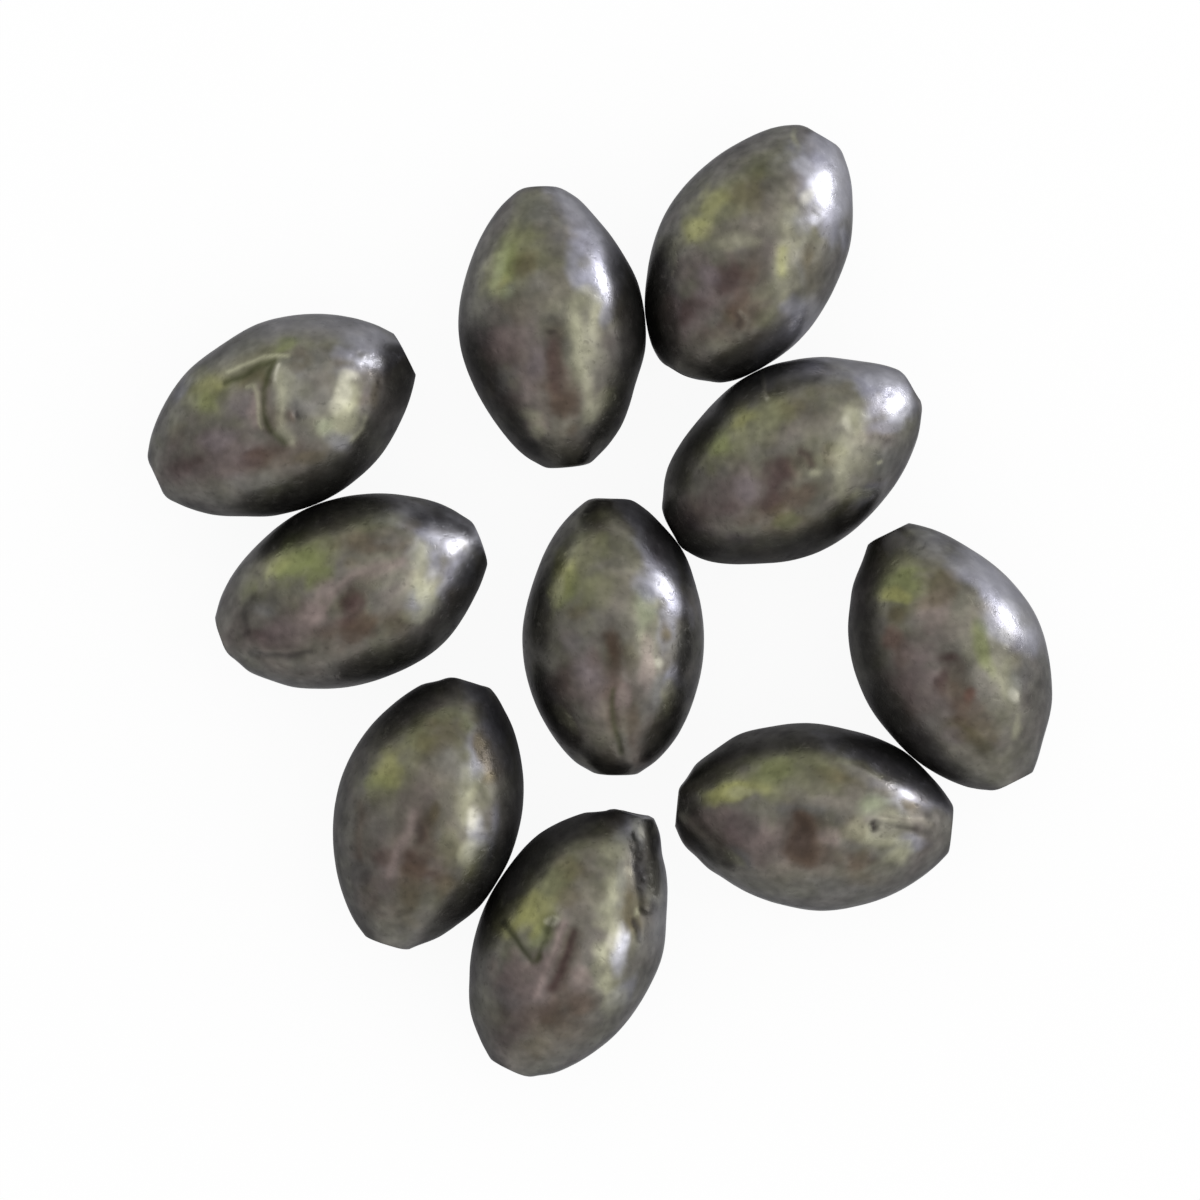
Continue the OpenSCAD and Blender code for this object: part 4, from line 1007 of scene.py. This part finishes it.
# How much the steep rim is covered on each of the listed sides
def rimAmount(fields, sides):
    faces = fields["facing"]
    ragged = fields["edge"] * laying["coverRagged"]
    steep = easeBetween(*laying["covered"], np.hypot(faces[:, 0], faces[:, 1]) + ragged)
    covered = np.zeros(len(faces))
    for bearing, spread, strength in sides:
        turned = np.degrees(np.arctan2(faces[:, 1], faces[:, 0])) - bearing
        turned = np.abs((turned + 180) % 360 - 180)
        side = 1 - easeBetween(spread * laying["fullSide"], spread, turned)
        covered = np.maximum(covered, strength * steep * side)
    return covered


# Paints the tarnish, with the painted reflections, highlights and shade, into the point colours, and the
# painted rim shade into an attribute of its own
def paintTarnishAndLight(casting, told, fields):
    faces = fields["facing"]
    seen = fields["seen"] + fields["wander"] * laying["wander"]
    lean = faces[:, :2] + fields["wander"] * laying["sharedWander"]
    above = easeBetween(*laying["upper"], faces[:, 2])
    wobble = fields["edge"] * laying["ragged"]
    colour = np.tile(screenTone("body"), (len(seen), 1))
    colour = blendTone(colour, "olive", fields["hue"] * laying["hue"])
    colour = blendTone(colour, "mauve", fields["hue"] * -laying["hue"])
    # painted reflections of the surroundings, laid by the way the skin faces
    colour = layPatches(colour, sharedReflections, lean, wobble, above)
    # tarnish stains, with painted highlights, painted halos and painted shade among them
    colour = layPatches(colour, told["stainsAndPaintedLight"], seen, wobble, above)
    # tarnish streaks, with painted highlight bands and painted shade bands among them
    for tone, width, strength, path in told["streaksAndPaintedLight"]:
        apart = pathDistance(seen, path) / width
        colour = blendTone(colour, tone, np.exp(-(apart ** 2)) * strength * above)

    steep = easeBetween(*laying["steep"], np.hypot(faces[:, 0], faces[:, 1]))
    colour = blendTone(colour, "slate", steep * laying["steepDull"])
    mottling = laying["mottle"] * fields["mottle"] + laying["fine"] * fields["fine"]
    colour *= np.exp(mottling)[:, None]

    # painted highlight along the rim on the shine sides, and painted shade along the rim on the sides
    # listed for rim shade
    shine = rimAmount(fields, told["shine"])
    rimShade = rimAmount(fields, told["rimShade"])
    colour = blendTone(colour, "bright", shine * laying["cover"])
    colour = blendTone(colour, "rimShade", rimShade * laying["cover"])

    layer = casting.data.color_attributes.new("tarnishAndPaintedLight", "FLOAT_COLOR", "POINT")
    rgba = np.ones((len(seen), 4), np.float32)
    rgba[:, :3] = np.clip(colour, laying["darkest"], 1)
    layer.data.foreach_set("color", rgba.ravel())
    # the mask of the painted rim shade
    rimShadeLayer = casting.data.attributes.new("rimShade", "FLOAT", "POINT")
    rimShadeLayer.data.foreach_set("value", rimShade.astype(np.float32))


class Wire:  # a node socket that can be used in sums
    def __init__(self, tree, socket=None):
        self.tree = tree
        self.socket = socket

    def node(self, kind, settings=None, inputs=None, output=0):
        made = self.tree.nodes.new(kind)
        for name, value in (settings or {}).items():
            setattr(made, name, value)
        for name, value in (inputs or {}).items():
            if isinstance(value, Wire):
                self.tree.links.new(value.socket, made.inputs[name])
            else:
                made.inputs[name].default_value = value
        return Wire(self.tree, made.outputs[output]) if made.outputs else None

    def math(self, operation, first, second=0.0):
        return self.node("ShaderNodeMath", {"operation": operation}, {0: first, 1: second})

    def __add__(self, other):
        return self.math("ADD", self, other)

    def __sub__(self, other):
        return self.math("SUBTRACT", self, other)

    def __mul__(self, other):
        return self.math("MULTIPLY", self, other)

    def __rsub__(self, other):
        return self.math("SUBTRACT", other, self)

    __radd__ = __add__
    __rmul__ = __mul__


def newTree(owner):
    owner.use_nodes = True
    owner.node_tree.nodes.clear()
    return Wire(owner.node_tree)


# Goes from one level to another while the wire goes from low to high
def fade(wire, low, high, fromLevel, toLevel, kind="SMOOTHSTEP"):
    return wire.node(
        "ShaderNodeMapRange",
        {"interpolation_type": kind},
        {
            "Value": wire,
            "From Min": low,
            "From Max": high,
            "To Min": fromLevel,
            "To Max": toLevel,
        },
    )


# The lead with its fine grain. A noise has its size in millimetres and its detail, and the
# last three lists say how much each layer adds to the shade, the roughness and the height.
finish = {
    "edgeTint": (0.5, 0.5, 0.52, 1),
    "noises": {"grain": (0.3, 3), "mottle": (1.3, 4), "broad": (4, 3), "pits": (0.5, 2)},
    "noiseRoughness": 0.55,  # how strong the fine detail of a noise is
    "pitEdge": (0.3, 0.42),  # noise below the first is a pit, and above the second is none
    "shade": {"plain": 0.88, "grain": 0.14, "mottle": 0.18, "broad": -0.08, "pits": -0.08},
    "roughness": {"plain": 0.2, "mottle": 0.16, "grain": 0.08, "rimShade": 0.25, "pits": 0.12},
    "height": {"grain": 0.005, "pits": -0.006},  # millimetres
}


def leadFinish():
    lead = bpy.data.materials.new("leadWithPaintedLight")
    nodes = newTree(lead)
    place = nodes.node("ShaderNodeTexCoord", output="Object")
    # the point colours: tarnish with painted reflections, highlights and shade
    tarnishAndPaintedLight = nodes.node("ShaderNodeAttribute", {"attribute_name": "tarnishAndPaintedLight"}, output="Color")
    # the painted rim shade, which also makes the lead rougher there
    rimShade = nodes.node("ShaderNodeAttribute", {"attribute_name": "rimShade"}, output="Fac")
    layers = {"plain": 1, "rimShade": rimShade}
    for name, (size, detail) in finish["noises"].items():
        layers[name] = nodes.node(
            "ShaderNodeTexNoise",
            {},
            {
                "Vector": place,
                "Scale": 1 / (size * mm),
                "Detail": detail,
                "Roughness": finish["noiseRoughness"],
            },
            "Fac",
        )
    layers["pits"] = fade(layers["pits"], *finish["pitEdge"], 1, 0, "LINEAR")

    def addUp(shares):
        return sum(share * layers[name] for name, share in shares.items())

    shade = addUp(finish["shade"])
    grey = nodes.node("ShaderNodeCombineXYZ", {}, {0: shade, 1: shade, 2: shade})
    # The two colours of a mix are its sockets 6 and 7, and the mixed one is its output 2
    colour = nodes.node(
        "ShaderNodeMix",
        {"data_type": "RGBA", "blend_type": "MULTIPLY"},
        {"Factor": 1.0, 6: tarnishAndPaintedLight, 7: grey},
        2,
    )
    height = addUp(finish["height"])
    bump = nodes.node("ShaderNodeBump", {}, {"Strength": 1.0, "Distance": mm, "Height": height})
    surface = nodes.node(
        "ShaderNodeBsdfPrincipled",
        {},
        {
            "Base Color": colour,
            "Metallic": 1.0,
            "Roughness": addUp(finish["roughness"]),
            "Specular Tint": finish["edgeTint"],
            "Normal": bump,
        },
    )
    nodes.node("ShaderNodeOutputMaterial", {}, {"Surface": surface})
    return lead


studio = {
    "floorSize": 4,
    "floorColour": (0.9, 0.9, 0.9, 1),
    "whiteShare": 0.93,  # how much of the floor is plain white to the camera
    "glossShare": 0.6,  # and to what mirrors it
    "skyLow": 1.0,
    "skyMiddle": 1.1,
    "skyHigh": 0.6,
    "lowFade": (0.1, 0.6),  # from what height to what height the low sky gives way
    "highFade": (0.94, 0.985),
    "skyDim": 0.45,  # how much less light comes from the dim side
    "dimSide": (-0.95, -0.3),  # x and y of the way to that side
    "dimFade": (0.2, 0.9),  # how squarely a way points there where it starts and is full
    "distance": 1.5,  # of the lamps
}

# Lamps: bearing and elevation in degrees, width and height in metres, radiance
lamps = {
    "keyLamp": (29, 5, 0.36, 0.32, 16),
    "windowLamp": (16, 8, 1.8, 0.6, 1.3),
    "fillLamp": (-10, 44, 0.6, 0.9, 1.1),
    "leftLamp": (146, 9, 1.0, 0.5, 0.6),
}


def floorFinish():
    paper = bpy.data.materials.new("palePaper")
    nodes = newTree(paper)
    matt = nodes.node("ShaderNodeBsdfDiffuse", {}, {"Color": studio["floorColour"]})
    white = nodes.node("ShaderNodeEmission", {}, {"Color": (1, 1, 1, 1), "Strength": 1.0})
    direct = nodes.node("ShaderNodeLightPath", output="Is Camera Ray")
    glossy = nodes.node("ShaderNodeLightPath", output="Is Glossy Ray")
    through = nodes.node("ShaderNodeLightPath", output="Is Transmission Ray")
    share = studio["whiteShare"] * (direct + through) + studio["glossShare"] * glossy
    mixed = nodes.node("ShaderNodeMixShader", {}, {0: share, 1: matt, 2: white})
    nodes.node("ShaderNodeOutputMaterial", {}, {"Surface": mixed})
    return paper


# Soft light from all round, less from the dim side and from straight above
def makeSky():
    sky = bpy.data.worlds.new("softStudio")
    bpy.context.scene.world = sky
    nodes = newTree(sky)
    look = nodes.node("ShaderNodeTexCoord", output="Generated")
    right = nodes.node("ShaderNodeSeparateXYZ", {}, {0: look}, "X")
    ahead = nodes.node("ShaderNodeSeparateXYZ", {}, {0: look}, "Y")
    up = nodes.node("ShaderNodeSeparateXYZ", {}, {0: look}, "Z")
    dimX, dimY = studio["dimSide"]
    middle = studio["skyMiddle"]
    low = fade(up, *studio["lowFade"], studio["skyLow"], middle)
    high = fade(up, *studio["highFade"], 0, middle - studio["skyHigh"])
    dim = fade(dimX * right + dimY * ahead, *studio["dimFade"], 0, studio["skyDim"])
    strength = low - high - dim
    glow = nodes.node("ShaderNodeBackground", {}, {"Color": (1, 1, 1, 1), "Strength": strength})
    nodes.node("ShaderNodeOutputWorld", {}, {"Surface": glow})


def makeStudio():
    bpy.ops.object.select_all(action="DESELECT")
    bpy.ops.mesh.primitive_plane_add(size=studio["floorSize"])
    floor = bpy.context.object
    floor.name = "floor"
    floor.data.materials.append(floorFinish())
    makeSky()
    for name, (bearing, elevation, width, height, radiance) in lamps.items():
        rise = math.radians(elevation)
        spot = compass(bearing) * math.cos(rise) + Vector((0, 0, math.sin(rise)))
        data = bpy.data.lights.new(name, "AREA")
        data.shape = "RECTANGLE"
        data.size = width
        data.size_y = height
        data.energy = radiance * math.pi * width * height
        lamp = bpy.data.objects.new(name, data)
        bpy.context.scene.collection.objects.link(lamp)
        lamp.location = spot * studio["distance"]
        lamp.rotation_euler = spot.to_track_quat("Z", "Y").to_euler()
        lamp.visible_camera = False


def makeCamera():
    data = bpy.data.cameras.new("view")
    data.lens = camera["lens"]
    data.sensor_width = camera["sensor"]
    data.clip_start = camera["nearest"]
    data.clip_end = camera["furthest"]
    eye = bpy.data.objects.new("view", data)
    eye.location = camera["spot"]
    bpy.context.scene.collection.objects.link(eye)
    bpy.context.scene.camera = eye


makeCamera()
makeStudio()
print("camera and studio set")

clean = makeMaster()
makeLumps()
lead = leadFinish()
for place, told in castings.items():
    spot = readPlace(place)
    casting = copyMaster(clean, place, spot)
    shapeOutline(casting, spot, told)
    fields = readSkin(casting, spot)
    carveMarks(casting, told, fields)
    for lumps in skin:
        displace(casting, lumps["stand"], texture=lumps["texture"])
    onlySelect(casting)
    bpy.ops.object.shade_smooth_by_angle(angle=math.radians(master["sharpAngle"]))
    paintTarnishAndLight(casting, told, fields)
    casting.data.materials.clear()
    casting.data.materials.append(lead)
    node = "sinker_" + place
    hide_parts(node)
    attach(casting, place)
    print(casting.name, "done:", len(casting.data.vertices), "points")
bpy.data.objects.remove(clean)

scene = bpy.context.scene
scene.view_settings.view_transform = "Standard"
